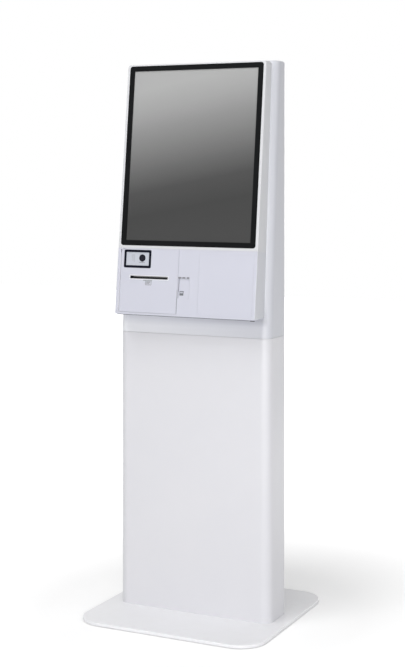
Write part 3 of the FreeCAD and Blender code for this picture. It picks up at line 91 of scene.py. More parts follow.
ROOM_LIGHT = 0.45
room = bpy.data.worlds.new("white_room")
scene.world = room
room.use_nodes = True
tree = room.node_tree
backdrop = tree.nodes["Background"].inputs
backdrop["Color"].default_value = (1, 1, 1, 1)
tree.links.new(ramp(tree, seen_rays(tree), low=ROOM_LIGHT), backdrop["Strength"])

FLOOR_HALF, FLOOR_DROP = 9, 0.0003
NEAR, FAR, NEAR_GLOW, FAR_GLOW = 0.45, 1.7, 0.24, 0.9
ground = bmesh.new()
bmesh.ops.create_grid(ground, x_segments=24, y_segments=24, size=FLOOR_HALF)
bmesh.ops.translate(ground, verts=ground.verts, vec=(0, 0, -FLOOR_DROP))
sheet = bpy.data.meshes.new("studio_floor")
ground.to_mesh(sheet)
floor = bpy.data.objects.new("studio_floor", sheet)
scene.collection.objects.link(floor)
pale = bpy.data.materials.new("studio_floor")
pale.use_nodes = True
sheet.materials.append(pale)
tree = pale.node_tree
surface = tree.nodes["Principled BSDF"].inputs
surface["Base Color"].default_value = (0.86, 0.86, 0.86, 1)
surface["Roughness"].default_value = 0.9
surface["Specular IOR Level"].default_value = 0.0
surface["Emission Color"].default_value = (1, 1, 1, 1)
spot = fit(tree, "TexCoord").outputs["Object"]
away = fit(tree, "VectorMath", {0: spot}, operation="LENGTH").outputs["Value"]
glow = ramp(tree, away, low=NEAR_GLOW, high=FAR_GLOW, start=NEAR, end=FAR)
tree.links.new(times(tree, seen_rays(tree), glow), surface["Emission Strength"])


def lamp(name, where, aim, size, power):
    """A rectangular soft lamp, size wide and tall in metres, pointed at aim."""
    light = bpy.data.lights.new(name, "AREA")
    light.shape = "RECTANGLE"
    light.size, light.size_y = size
    light.energy = power
    stand = bpy.data.objects.new(name, light)
    scene.collection.objects.link(stand)
    stand.location = where
    stand.rotation_euler = (Vector(aim) - Vector(where)).to_track_quat("-Z", "Y").to_euler()


lamp("key_lamp", (-1.35, -3.2, 5.0), aim=(0, 0, 0.8), size=(2.0, 1.8), power=30)
lamp("top_lamp", (-0.5, -1.9, 4.4), aim=(0, 0, 0.7), size=(2.6, 2.2), power=62)
lamp("front_lamp", (2.3, -4.2, 0.8), aim=(0, 0, 0.6), size=(2.4, 1.4), power=78)
lamp("corner_lamp", (2.34, -1.16, 0.55), aim=(0.2, -0.05, 0.5), size=(0.35, 1.1), power=5.5)
lamp("back_lamp", (0.2, 3.8, 1.1), aim=(0, 0, 0.9), size=(1.2, 1.6), power=22)


# ---------------------------------------------------------------------------------------------------
# Floor plate. An 8 mm steel plate with wide rounded corners and a rolled-over top edge, powder
# coated white. Four rubber pads glued underneath keep it clear of the floor.
def node_group(name, inputs, outputs):
    """An empty group with its entry and exit; it puts out values that change over the surface."""
    tree = bpy.data.node_groups.new(name, "ShaderNodeTree")
    tree.interface.new_socket("Point", in_out="INPUT", socket_type="NodeSocketVector")
    for label, value in inputs.items():
        entry = tree.interface.new_socket(label, in_out="INPUT", socket_type="NodeSocketFloat")
        entry.default_value = value
    for label in outputs:
        tree.interface.new_socket(label, in_out="OUTPUT", socket_type="NodeSocketFloat")
    return tree, tree.nodes.new("NodeGroupInput").outputs, tree.nodes.new("NodeGroupOutput").inputs


def noise(tree, point, scale, detail, **more):
    """Soft noise over the surface, detail octaves deep."""
    return fit(tree, "TexNoise", {"Vector": point, "Scale": scale, "Detail": detail, **more}).outputs[0]


def times_plus(tree, first, second, third):
    """The product of the first two values, plus the third."""
    return fit(tree, "Math", {0: first, 1: second, 2: third}, operation="MULTIPLY_ADD").outputs[0]


def powder_skin_group():
    """Sprayed and baked powder: a faint orange peel, fine specks, and slow clouds in the tone."""
    tree, given, out = node_group("powder_skin", {"Peel": 560, "Speck": 2400}, ["Height", "Tone"])
    peel = noise(tree, given["Point"], scale=given["Peel"], detail=2)
    speck = noise(tree, given["Point"], scale=given["Speck"], detail=1)
    tree.links.new(times_plus(tree, speck, 0.35, peel), out["Height"])
    cloud = noise(tree, given["Point"], scale=4.2, detail=4, Distortion=0.6)
    tone = ramp(tree, cloud, start=0.25, end=0.75, interpolation_type="SMOOTHSTEP")
    tree.links.new(tone, out["Tone"])
    return tree


def settled_dust_group():
    """Dust lies in loose clumps where the surface faces up, and thins out towards the sides."""
    tree, given, out = node_group("settled_dust", {"Clump": 42, "Amount": 1}, ["Mask"])
    upward = fit(tree, "SeparateXYZ", {0: fit(tree, "NewGeometry").outputs["Normal"]}).outputs["Z"]
    flat = ramp(tree, upward, start=0.6, end=0.97)
    clump = noise(tree, given["Point"], scale=given["Clump"], detail=5, Roughness=0.65)
    mask = times(tree, flat, ramp(tree, clump, start=0.44, end=0.74))
    tree.links.new(times(tree, mask, given["Amount"]), out["Mask"])
    return tree


def rub_marks_group():
    """Hairline rubs from cleaning and handling: short straight lines that come in patches."""
    tree, given, out = node_group("rub_marks", {"Lines": 260, "Patch": 7}, ["Mask"])
    drawn = fit(tree, "Mapping", {"Vector": given["Point"], "Rotation": (0.2, 0.7, 0.4),
                                  "Scale": (1, 0.05, 0.12)}).outputs[0]
    line = ramp(tree, noise(tree, drawn, scale=given["Lines"], detail=1), start=0.66, end=0.74)
    patch = ramp(tree, noise(tree, given["Point"], scale=given["Patch"], detail=2), start=0.48, end=0.66)
    tree.links.new(times(tree, line, patch), out["Mask"])
    return tree


powder_skin = powder_skin_group()
settled_dust = settled_dust_group()
rub_marks = rub_marks_group()


def place(tree, group, point, **values):
    """Puts a finish group in a material, fed with the surface point and its own settings."""
    node = fit(tree, "Group", node_tree=group)
    tree.links.new(point, node.inputs["Point"])
    for key, value in values.items():
        node.inputs[key].default_value = value
    return node.outputs


def blank_material(name, roughness, metallic=0.0):
    """A new material with its shader, its node tree and the object's own coordinates."""
    material = bpy.data.materials.new(name)
    material.use_nodes = True
    tree = material.node_tree
    surface = tree.nodes["Principled BSDF"].inputs
    surface["Roughness"].default_value = roughness
    surface["Metallic"].default_value = metallic
    return material, tree, surface, fit(tree, "TexCoord").outputs["Object"]


def blend_colours(tree, amount, first, second):
    """Mixes two colours by a mask; either may be a colour or a node's output."""
    return fit(tree, "Mix", {0: amount, 6: first, 7: second}, data_type="RGBA").outputs[2]


def raise_surface(tree, surface, height, strength, distance):
    """Feeds a height into the shader's normal."""
    bump = fit(tree, "Bump", {"Height": height, "Strength": strength, "Distance": distance})
    tree.links.new(bump.outputs[0], surface["Normal"])


SHEET_DUST, SHEET_DULL, RUB_SHINE = (0.60, 0.59, 0.57, 1), 0.25, -0.015


def powder_coat(name, colour, shade, roughness, dust=0.25):
    """Satin powder coat over sheet steel."""
    material, tree, surface, point = blank_material(name, roughness)
    skin = place(tree, powder_skin, point)
    film = place(tree, settled_dust, point, Amount=dust)
    rubs = place(tree, rub_marks, point)
    painted = blend_colours(tree, skin["Tone"], (*colour, 1), (*shade, 1))
    tree.links.new(blend_colours(tree, film["Mask"], painted, SHEET_DUST), surface["Base Color"])
    matt = ramp(tree, skin["Tone"], low=roughness - 0.03, high=roughness + 0.04)
    rubbed = times_plus(tree, rubs["Mask"], RUB_SHINE, matt)
    tree.links.new(times_plus(tree, film["Mask"], SHEET_DULL, rubbed), surface["Roughness"])
    raise_surface(tree, surface, skin["Height"], strength=0.10, distance=0.0002)
    return material


def dress(material, *names):
    """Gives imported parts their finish."""
    for name in names:
        slots = nodes[name].data.materials
        slots.clear()
        slots.append(material)


dress(powder_coat("floor_plate_paint", (0.85, 0.85, 0.868), (0.838, 0.84, 0.86), 0.40, dust=0.07),
      "base_plate")


def mould_grain_group():
    """The pebbled skin that a spark-eroded mould leaves on plastic, with slow changes of tone."""
    tree, given, out = node_group("mould_grain", {"Pebble": 1500}, ["Height", "Tone"])
    pebble = fit(tree, "TexVoronoi", {"Vector": given["Point"], "Scale": given["Pebble"],
                                      "Smoothness": 0.6}, feature="SMOOTH_F1").outputs[0]
    fine = noise(tree, given["Point"], scale=5200, detail=1)
    tree.links.new(times_plus(tree, fine, 0.4, pebble), out["Height"])
    cloud = noise(tree, given["Point"], scale=6.5, detail=3)
    tone = ramp(tree, cloud, start=0.25, end=0.75, interpolation_type="SMOOTHSTEP")
    tree.links.new(tone, out["Tone"])
    return tree


mould_grain = mould_grain_group()
MOULDING_DUST, MOULDING_DULL = (0.55, 0.54, 0.52, 1), 0.2


def moulding(name, colour, shade, roughness, pebble=1500, depth=0.00012, strength=0.12, dust=0.15,
             sheen=0.5):
    """Injection-moulded plastic or rubber with a grained surface; sheen is its specular level."""
    material, tree, surface, point = blank_material(name, roughness)
    surface["Specular IOR Level"].default_value = sheen
    skin = place(tree, mould_grain, point, Pebble=pebble)
    film = place(tree, settled_dust, point, Amount=dust)
    base = blend_colours(tree, skin["Tone"], (*colour, 1), (*shade, 1))
    tree.links.new(blend_colours(tree, film["Mask"], base, MOULDING_DUST), surface["Base Color"])
    matt = ramp(tree, skin["Tone"], low=roughness - 0.04, high=roughness + 0.05)
    tree.links.new(times_plus(tree, film["Mask"], MOULDING_DULL, matt), surface["Roughness"])
    raise_surface(tree, surface, skin["Height"], strength=strength, distance=depth)
    return material


dress(moulding("pad_rubber", (0.035, 0.035, 0.036), (0.05, 0.05, 0.05), 0.8, pebble=900,
               depth=0.0003, strength=0.3), "floor_pads", "cable_grommet")


# ---------------------------------------------------------------------------------------------------
# Column frame. Two rolled steel uprights stand on flanges that are bolted through the floor plate,
# and tie bars join them. They, and the plates and rails that the head's parts are screwed to, are
# cut and welded from mild steel and then galvanised. Bolts and pins are bare steel.
def zinc_bloom_group():
    """Galvanised steel: crystals a few millimetres wide, each with its own tone."""
    tree, given, out = node_group("zinc_bloom", {"Crystal": 190}, ["Height", "Tone"])
    wander = fit(tree, "TexNoise", {"Vector": given["Point"], "Scale": 70, "Detail": 2})
    pushed = fit(tree, "VectorMath", {0: wander.outputs["Color"], 3: 0.006}, operation="SCALE")
    warped = fit(tree, "VectorMath", {0: given["Point"], 1: pushed.outputs[0]}, operation="ADD")
    crystal = fit(tree, "TexVoronoi", {"Vector": warped.outputs[0], "Scale": given["Crystal"]})
    grey = fit(tree, "RGBToBW", {0: crystal.outputs["Color"]}).outputs[0]
    tree.links.new(grey, out["Tone"])
    fine = noise(tree, given["Point"], scale=900, detail=2)
    tree.links.new(times_plus(tree, grey, 0.5, fine), out["Height"])
    return tree


zinc_bloom = zinc_bloom_group()
zinc_steel, tree, surface, point = blank_material("zinc_steel", 0.45, metallic=1.0)
bloom = place(tree, zinc_bloom, point)
plated = blend_colours(tree, bloom["Tone"], (0.52, 0.53, 0.54, 1), (0.68, 0.69, 0.70, 1))
tree.links.new(plated, surface["Base Color"])
tree.links.new(ramp(tree, bloom["Tone"], low=0.36, high=0.54), surface["Roughness"])
raise_surface(tree, surface, bloom["Height"], strength=0.12, distance=0.0002)
dress(zinc_steel, "foot_flanges", "upright_left", "upright_right", "tie_bars", "top_crossbar",
      "frame_plate", "display_rails", "printer_shelf", "printer_chassis", "gear_plate")


def drawn_lines_group():
    """Lines left by drawing, turning or brushing metal. Stretch the point along them first."""
    tree, given, out = node_group("drawn_lines", {"Lines": 1200}, ["Height", "Tone"])
    lines = noise(tree, given["Point"], scale=given["Lines"], detail=3, Roughness=0.6)
    tree.links.new(lines, out["Height"])
    smear = noise(tree, given["Point"], scale=60, detail=3)
    tree.links.new(ramp(tree, times_plus(tree, lines, 0.5, smear), start=0.5), out["Tone"])
    return tree


drawn_lines = drawn_lines_group()


def bare_metal(name, colour, shade, roughness, along=(0.04, 1, 1), lines=1200, strength=0.06):
    """Metal left bare: brushed, turned or ground, its lines running where along is small."""
    material, tree, surface, point = blank_material(name, roughness, metallic=1.0)
    drawn = fit(tree, "Mapping", {"Vector": point, "Scale": along}).outputs[0]
    grain = place(tree, drawn_lines, drawn, Lines=lines)
    tree.links.new(blend_colours(tree, grain["Tone"], (*colour, 1), (*shade, 1)), surface["Base Color"])
    matt = ramp(tree, grain["Tone"], low=roughness - 0.05, high=roughness + 0.08)
    tree.links.new(matt, surface["Roughness"])
    raise_surface(tree, surface, grain["Height"], strength=strength, distance=0.0001)
    return material


bolt_steel = bare_metal("bolt_steel", (0.60, 0.60, 0.60), (0.46, 0.46, 0.47), 0.34,
                        along=(1, 1, 1), lines=1600)
dress(bolt_steel, "foot_bolts", "front_screws", "rear_cover_screws", "rear_hinge_pins",
      "door_hinge_pins", "lid_pivot_pin", "roll_spindle")


# ---------------------------------------------------------------------------------------------------
# Column shell. One folded sheet-steel skin wraps the front and both sides with a 26 mm bend at the
# front corners, open at the back. Its satin powder coat is a shade greyer than the floor plate's.
dress(powder_coat("pedestal_paint", (0.69, 0.687, 0.717), (0.675, 0.674, 0.707), 0.33), "pedestal_shell")


# ---------------------------------------------------------------------------------------------------
# Power supply, inlet and switch. The supply is a ventilated aluminium case on the tie bar, with a
# screw terminal block. The mains inlet and the rocker switch look out through the back, low down.
supply_case = bare_metal("supply_case", (0.62, 0.63, 0.64), (0.52, 0.53, 0.54), 0.42,
                         along=(0.05, 1, 1), lines=800, strength=0.08)
dress(supply_case, "power_supply")
inlet_black = moulding("inlet_black", (0.018, 0.018, 0.019), (0.028, 0.028, 0.03), 0.42, pebble=1800)
dress(inlet_black, "power_inlet", "switch_frame")
dress(moulding("rocker_black", (0.014, 0.014, 0.015), (0.02, 0.02, 0.02), 0.22, pebble=2600,
               depth=0.00004), "rocker")


def brick(shape, low, high, edge=0.0, steps=2):
    """A box between two corners, its edges rounded off."""
    low, high = Vector(low), Vector(high)
    seat = Matrix.Translation((low + high) / 2) @ Matrix.Diagonal((*(high - low), 1))
    made = bmesh.ops.create_cube(shape, size=1, matrix=seat)["verts"]
    if edge:
        rims = list({e for v in made for e in v.link_edges})
        bmesh.ops.bevel(shape, geom=rims, offset=edge, segments=steps, profile=0.5, affect="EDGES",
                        material=-1)


def stud(shape, foot, top, radius, edge=0.0, sides=28, neck=None):
    """A round pin from foot to top, its two rims rounded off; neck gives the top its own radius."""
    foot, top = Vector(foot), Vector(top)
    seat = Matrix.Translation((foot + top) / 2) @ (top - foot).to_track_quat("Z", "Y").to_matrix().to_4x4()
    made = bmesh.ops.create_cone(shape, cap_ends=True, segments=sides, radius1=radius,
                                 radius2=radius if neck is None else neck, depth=(top - foot).length,
                                 matrix=seat)["verts"]
    if edge:
        rims = list({e for v in made for e in v.link_edges if any(len(f.verts) > 4 for f in e.link_faces)})
        bmesh.ops.bevel(shape, geom=rims, offset=edge, segments=2, profile=0.5, affect="EDGES",
                        material=-1)


def turned(shape, outline, steps=48):
    """A ring about the X axis: the outline's (x, radius) points, spun right round."""
    corners = [shape.verts.new((x, r, 0)) for x, r in outline]
    sides = [shape.edges.new(pair) for pair in zip(corners, corners[1:] + corners[:1])]
    bmesh.ops.spin(shape, geom=corners + sides, cent=(0, 0, 0), axis=(1, 0, 0), angle=2 * math.pi,
                   steps=steps, use_merge=True)


MM, SOFT_EDGE = 0.001, math.radians(38)


def piece(name, shape, material, body, seat=None):
    """Turns a shape drawn in millimetres into a shown piece that rides on a body."""
    if seat is not None:
        bmesh.ops.transform(shape, matrix=seat, verts=shape.verts)
    bmesh.ops.scale(shape, vec=(MM, MM, MM), verts=shape.verts)
    bmesh.ops.recalc_face_normals(shape, faces=shape.faces)
    for face in shape.faces:
        face.smooth = True
    for edge in shape.edges:
        edge.smooth = edge.is_manifold and edge.calc_face_angle(0) < SOFT_EDGE
    mesh = bpy.data.meshes.new(name)
    shape.to_mesh(mesh)
    shape.free()
    mesh.materials.append(material)
    made = bpy.data.objects.new(name, mesh)
    scene.collection.objects.link(made)
    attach(made, body)


SUPPLY_TOP, SUNK = 190.0, 0.2
BLOCK_LEFT, BLOCK_RIGHT, BLOCK_FRONT, BLOCK_REAR, BLOCK_TALL = 28, 86, -24, -7, 7
PITCH, FIRST_WALL, WALL_THICK, WALL_TALL, WALL_INSET = 7.8, 29.0, 1.2, 10.5, 0.6
TERMINALS, SCREW_R, SCREW_TALL = 7, 2.5, 9
RIDGE_LONG, RIDGE_HALF, RIDGE_FOOT, RIDGE_TOP = 1.9, 0.4, 8.9, 9.3
block_top, block_mid = SUPPLY_TOP + BLOCK_TALL - SUNK, (BLOCK_FRONT + BLOCK_REAR) / 2
terminals = bmesh.new()
brick(terminals, (BLOCK_LEFT, BLOCK_FRONT, SUPPLY_TOP - SUNK),
      (BLOCK_RIGHT, BLOCK_REAR, SUPPLY_TOP + BLOCK_TALL), edge=0.8)
for wall in range(TERMINALS + 1):
    left = FIRST_WALL + wall * PITCH
    brick(terminals, (left, BLOCK_FRONT + WALL_INSET, block_top),
          (left + WALL_THICK, BLOCK_REAR - WALL_INSET, SUPPLY_TOP + WALL_TALL), edge=0.3)
piece("supply_terminals", terminals, inlet_black, "kiosk")
screws = bmesh.new()
for screw in range(TERMINALS):
    x = FIRST_WALL + (PITCH + WALL_THICK) / 2 + screw * PITCH
    stud(screws, (x, block_mid, block_top), (x, block_mid, SUPPLY_TOP + SCREW_TALL), SCREW_R, edge=0.4,
         sides=20)
    brick(screws, (x - RIDGE_LONG, block_mid - RIDGE_HALF, SUPPLY_TOP + RIDGE_FOOT),
          (x + RIDGE_LONG, block_mid + RIDGE_HALF, SUPPLY_TOP + RIDGE_TOP))
piece("terminal_screws", screws, supply_case, "kiosk")


def printed_ink(name, colour, shade):
    """A matt, nearly smooth layer of printing ink."""
    return moulding(name, colour, shade, 0.5, pebble=2600, depth=0.00002, strength=0.05)


SWITCH_PIN, ROCKER_LEAN = Vector((70, 40, 45)), math.radians(-8.0)
SIGN_FOOT, SIGN_TOP, RING_IN, RING_OUT, RING_Z = 5.7, 6.58, 1.1, 1.7, -6.6
BAR_HALF, BAR_FOOT, BAR_LOW, BAR_HIGH = 0.35, 5.6, 5.0, 8.2
signs = bmesh.new()
turned(signs, [(SIGN_FOOT, RING_IN), (SIGN_TOP, RING_IN), (SIGN_TOP, RING_OUT), (SIGN_FOOT, RING_OUT)],
       steps=32)
faced = Matrix.Translation((0, 0, RING_Z)) @ Matrix.Rotation(math.pi / 2, 4, "Z")
bmesh.ops.transform(signs, matrix=faced, verts=signs.verts)
brick(signs, (-BAR_HALF, BAR_FOOT, BAR_LOW), (BAR_HALF, SIGN_TOP, BAR_HIGH), edge=0.05, steps=1)
white_print = printed_ink("white_print", (0.78, 0.78, 0.77), (0.72, 0.72, 0.71))
rocker_seat = Matrix.Translation(SWITCH_PIN) @ Matrix.Rotation(ROCKER_LEAN, 4, "X")
piece("rocker_signs", signs, white_print, "power_rocker", rocker_seat)


# ---------------------------------------------------------------------------------------------------
# Rear door. Folded sheet steel on two lift-off hinges, closed by a quarter-turn cam lock. A woven
# steel mesh spot-welded behind its vents keeps dust out.
dress(powder_coat("rear_door_paint", (0.70, 0.697, 0.727), (0.685, 0.684, 0.717), 0.34), "rear_door")
dress(bare_metal("hinge_steel", (0.50, 0.50, 0.50), (0.42, 0.42, 0.42), 0.35, along=(1, 1, 0.05),
                 lines=1500), "rear_hinge_leaves", "rear_door_leaves")
dress(bare_metal("lock_chrome", (0.42, 0.42, 0.43), (0.36, 0.36, 0.37), 0.18, along=(1, 1, 1), lines=2200,
                 strength=0.02), "rear_door_lock", "lock_cam")

WIRE_PITCH, WIRE_THICK, MESH_Y = 3.4, 0.55, 42.0


def dust_mesh(name, low_x, high_x, low_z, high_z, body):
    """Woven wire across a vent, just inside the steel sheet."""
    wires = bmesh.new()
    wide, tall = high_x - low_x, high_z - low_z
    bmesh.ops.create_grid(wires, x_segments=round(wide / WIRE_PITCH), y_segments=round(tall / WIRE_PITCH),
                          size=0.5)
    bmesh.ops.scale(wires, vec=(wide, tall, 1), verts=wires.verts)
    bmesh.ops.rotate(wires, matrix=Matrix.Rotation(math.pi / 2, 3, "X"), verts=wires.verts)
    middle = ((low_x + high_x) / 2, MESH_Y, (low_z + high_z) / 2)
    bmesh.ops.translate(wires, vec=middle, verts=wires.verts)
    bmesh.ops.wireframe(wires, faces=wires.faces, thickness=WIRE_THICK, use_replace=True,
                        use_boundary=True, use_even_offset=True)
    piece(name, wires, zinc_steel, body)


dust_mesh("door_mesh", low_x=-64, high_x=64, low_z=104, high_z=181, body="rear_door")


# ---------------------------------------------------------------------------------------------------
# Head housing. A grained white moulding that leans back over the column. Its sides are painted
# darker towards the top as painted shade, its collar under the panel is painted whiter towards its
# lower left as painted light, and a painted shadow darkens the collar's top right close under the panel.
def flank_mask_group():
    """1 on a part's two outer sides, 0 between them; it changes over from Inner to Outer."""
    tree, given, out = node_group("flank_mask", {"Inner": 0.2, "Outer": 0.21}, ["Mask"])
    across = fit(tree, "SeparateXYZ", {0: given["Point"]}).outputs["X"]
    aside = fit(tree, "Math", {0: across}, operation="ABSOLUTE").outputs[0]
    tree.links.new(ramp(tree, aside, start=given["Inner"], end=given["Outer"]), out["Mask"])
    return tree


def ready_paint(material):
    """A finished material's tree, its colour input, the colour that feeds it, and the surface point."""
    tree = material.node_tree
    entry = tree.nodes["Principled BSDF"].inputs["Base Color"]
    return tree, entry, entry.links[0].from_socket, fit(tree, "TexCoord").outputs["Object"]


SIDE_PAINTED_SHADE, COLLAR_PAINTED_LIGHT, COLLAR_PAINTED_SHADOW = (0.535, 0.542, 0.585, 1), (0.76, 0.767, 0.80, 1), (0.44, 0.445, 0.49, 1)
BEND_Y, FRONT_Y, SIDE_INNER, SIDE_OUTER = -0.058, -0.064, 0.2265, 0.2312
WHITE_Z, SHELL_Z, WHITE_X, SHELL_X = 0.804, 0.826, -0.12, 0.27
SHADOW_FREE_Z, SHADOW_Z, SHADOW_FREE_X, SHADOW_X = 0.814, 0.831, -0.12, 0.14
SIDE_SHADE_LOW_Z, SIDE_SHADE_HIGH_Z, SIDE_SHADE_LOW = 0.80, 1.35, 0.4
flank_mask = flank_mask_group()
head_shell = moulding("head_shell", (0.615, 0.623, 0.668), (0.60, 0.608, 0.655), 0.34)
tree, entry, paint, point = ready_paint(head_shell)
spot = fit(tree, "SeparateXYZ", {0: point}).outputs
front = ramp(tree, spot["Y"], start=BEND_Y, end=FRONT_Y)
down = ramp(tree, spot["Z"], start=SHELL_Z, end=WHITE_Z)
leftward = ramp(tree, spot["X"], start=SHELL_X, end=WHITE_X)
# Painted light: the collar is painted whiter towards its lower left.
paint = blend_colours(tree, times(tree, times(tree, down, leftward), front), paint, COLLAR_PAINTED_LIGHT)
upward = ramp(tree, spot["Z"], start=SHADOW_FREE_Z, end=SHADOW_Z)
rightward = ramp(tree, spot["X"], start=SHADOW_FREE_X, end=SHADOW_X)
# Painted shadow: the collar's top right, close under the panel, is painted darker.
paint = blend_colours(tree, times(tree, times(tree, upward, rightward), front), paint, COLLAR_PAINTED_SHADOW)
flanks = place(tree, flank_mask, point, Inner=SIDE_INNER, Outer=SIDE_OUTER)["Mask"]
side_shade = ramp(tree, spot["Z"], low=SIDE_SHADE_LOW, start=SIDE_SHADE_LOW_Z, end=SIDE_SHADE_HIGH_Z)
# Painted shade: the sides are painted darker towards the top.
paint = blend_colours(tree, times(tree, flanks, side_shade), paint, SIDE_PAINTED_SHADE)
tree.links.new(paint, entry)
dress(head_shell, "head_housing")


# ---------------------------------------------------------------------------------------------------
# Head cover. A powder coated steel sheet, screwed to the back of the housing, with the same woven
# mesh as the rear door's behind its two vents.
dress(powder_coat("rear_cover_paint", (0.665, 0.665, 0.70), (0.65, 0.65, 0.69), 0.34), "head_rear_cover")
dust_mesh("cover_mesh_left", low_x=-123, high_x=-27, low_z=836, high_z=928, body="kiosk")
dust_mesh("cover_mesh_right", low_x=27, high_x=123, low_z=836, high_z=928, body="kiosk")


# ---------------------------------------------------------------------------------------------------
# Lower panel. The cover, the ticket door, the card insert and the blank plate are moulded in one white
# plastic, and the cover's sides get a less blue tone painted in for how light falls on them. Moulded
# strips close the gap under the display and the one beside the door's hinge; the hinge strip is painted
# whiter than the panel, as painted light that lifts the shade in the hinge groove.
FACE_TILT, FACE_FOOT = math.radians(6.48985), Vector((0, -126, 838))
FACE = Matrix.Translation(FACE_FOOT) @ Matrix.Rotation(-FACE_TILT, 4, "X")
COVER_HALF, SIDE_START, SIDE_END = 213.5, 0.2125, 0.2134
front_shell = moulding("front_shell", (0.575, 0.580, 0.655), (0.563, 0.571, 0.645), 0.34)
tree, entry, paint, point = ready_paint(front_shell)
# The cover's sides get a less blue tone painted in for how light falls on them.
flanks = place(tree, flank_mask, point, Inner=SIDE_START, Outer=SIDE_END)["Mask"]
tree.links.new(blend_colours(tree, flanks, paint, (0.608, 0.616, 0.655, 1)), entry)
dress(front_shell, "lower_front_cover", "ticket_door", "card_slot_bezel", "terminal_blank")

SPLIT, SPLIT_HALF, TONGUE_THICK = 185.0, 0.27, 2.1
FRONT_FROM, FRONT_TO, FRONT_SHORT, SIDE_FROM, SIDE_TO = 0.45, 2.4, 0.3, 1.2, 51
tongue = bmesh.new()
brick(tongue, (FRONT_SHORT - COVER_HALF, FRONT_FROM, SPLIT - SPLIT_HALF),
      (COVER_HALF - FRONT_SHORT, FRONT_TO, SPLIT + SPLIT_HALF), edge=0.1, steps=1)
for left in (-COVER_HALF, COVER_HALF - TONGUE_THICK):
    brick(tongue, (left, SIDE_FROM, SPLIT - SPLIT_HALF),
          (left + TONGUE_THICK, SIDE_TO, SPLIT + SPLIT_HALF), edge=0.1, steps=1)
piece("split_tongue", tongue, front_shell, "kiosk", FACE)

LIP_LEFT, LIP_RIGHT, LIP_FRONT, LIP_REAR, LIP_FOOT, LIP_TOP = -204.9, -204.17, 0.15, 10, 6.6, 172
lip = bmesh.new()
brick(lip, (LIP_LEFT, LIP_FRONT, LIP_FOOT), (LIP_RIGHT, LIP_REAR, LIP_TOP), edge=0.12, steps=1)
# Painted light: the lip is painted whiter than the panel to lift the shade in the hinge groove.
lip_painted_light = moulding("lip_painted_light", (0.86, 0.86, 0.89), (0.84, 0.84, 0.87), 0.34)
piece("hinge_lip", lip, lip_painted_light, "kiosk", FACE)


# ---------------------------------------------------------------------------------------------------
# Display. A white moulded front frame holds a black ring with a rubber gasket round it. Inside is a
# touch glass bonded to a portrait screen. A painted reflection on the glass fades from light grey at its
# top to dark grey lower down.
dress(moulding("bezel_shell", (0.638, 0.643, 0.662), (0.624, 0.629, 0.652), 0.34), "display_bezel")
screen_frame = moulding("screen_frame", (0.004, 0.0045, 0.005), (0.006, 0.0065, 0.007), 0.42, pebble=1800,
                        sheen=0.08)
dress(screen_frame, "screen_ring")


def thicken(shape, faces, depth):
    """Gives flat faces a thickness towards the back."""
    made = bmesh.ops.extrude_face_region(shape, geom=faces)["geom"]
    moved = [part for part in made if isinstance(part, bmesh.types.BMVert)]
    bmesh.ops.translate(shape, vec=(0, depth, 0), verts=moved)


RING_HALF, RING_FOOT, RING_TOP, RING_R = 204.5, 193.815, 698.815, 6.0
GASKET_SIDE, GASKET_END, GASKET_PROUD, GASKET_DEEP = 1.8, 1.2, 0.35, 0.45
gasket_wide, gasket_tall = 2 * (RING_HALF + GASKET_SIDE), RING_TOP - RING_FOOT + 2 * GASKET_END
gasket = bmesh.new()
bmesh.ops.create_grid(gasket, x_segments=1, y_segments=1, size=0.5)
bmesh.ops.scale(gasket, vec=(gasket_wide, gasket_tall, 1), verts=gasket.verts)
bmesh.ops.rotate(gasket, matrix=Matrix.Rotation(math.pi / 2, 3, "X"), verts=gasket.verts)
bmesh.ops.translate(gasket, vec=(0, -GASKET_PROUD, (RING_TOP + RING_FOOT) / 2), verts=gasket.verts)
bmesh.ops.bevel(gasket, geom=gasket.verts[:], offset=RING_R + GASKET_SIDE, segments=8, profile=0.5,
                affect="VERTICES", material=-1)
border = bmesh.ops.inset_region(gasket, faces=gasket.faces[:], thickness=GASKET_SIDE, use_boundary=True,
                                use_even_offset=True)["faces"]
bmesh.ops.delete(gasket, geom=[face for face in gasket.faces if face not in border], context="FACES")
thicken(gasket, gasket.faces[:], GASKET_DEEP)
piece("frame_gasket", gasket, screen_frame, "kiosk", FACE)
dress(moulding("screen_panel", (0.02, 0.02, 0.022), (0.03, 0.03, 0.03), 0.6), "lcd_panel")

# Painted reflection: the glass's colour fades from light grey at the top to dark grey lower down.
SCREEN_FOOT, SCREEN_TALL, REFLECTION_LEAN, REFLECTION_GREEN = 207.3, 478.0, -0.195, 1.003
PAINTED_REFLECTION = ((0.05, 0.373), (0.18, 0.313), (0.30, 0.233), (0.42, 0.1665),
        (0.54, 0.1023), (0.66, 0.0475), (0.80, 0.030), (1.0, 0.034))
screen_glass, tree, surface, point = blank_material("screen_glass", 0.07)
upright = fit(tree, "Mapping", {"Vector": point, "Rotation": (FACE_TILT, 0, 0)}).outputs[0]
climb = fit(tree, "VectorMath", {0: upright, 1: (REFLECTION_LEAN, 0, 1)},
            operation="DOT_PRODUCT").outputs["Value"]
foot_up = (FACE_FOOT.y * math.sin(FACE_TILT) + FACE_FOOT.z * math.cos(FACE_TILT) + SCREEN_FOOT) * MM
reflection = fit(tree, "ValToRGB", {0: ramp(tree, climb, start=foot_up + SCREEN_TALL * MM, end=foot_up)})
while len(reflection.color_ramp.elements) < len(PAINTED_REFLECTION):
    reflection.color_ramp.elements.new(0.5)
for stop, (where, grey) in zip(reflection.color_ramp.elements, PAINTED_REFLECTION):
    stop.position = where
    stop.color = (grey, grey * REFLECTION_GREEN, grey, 1)
tree.links.new(reflection.outputs[0], surface["Base Color"])
wipe = place(tree, rub_marks, point, Lines=140, Patch=4)
tree.links.new(ramp(tree, wipe["Mask"], low=0.06, high=0.10), surface["Roughness"])
dress(screen_glass, "touch_glass")


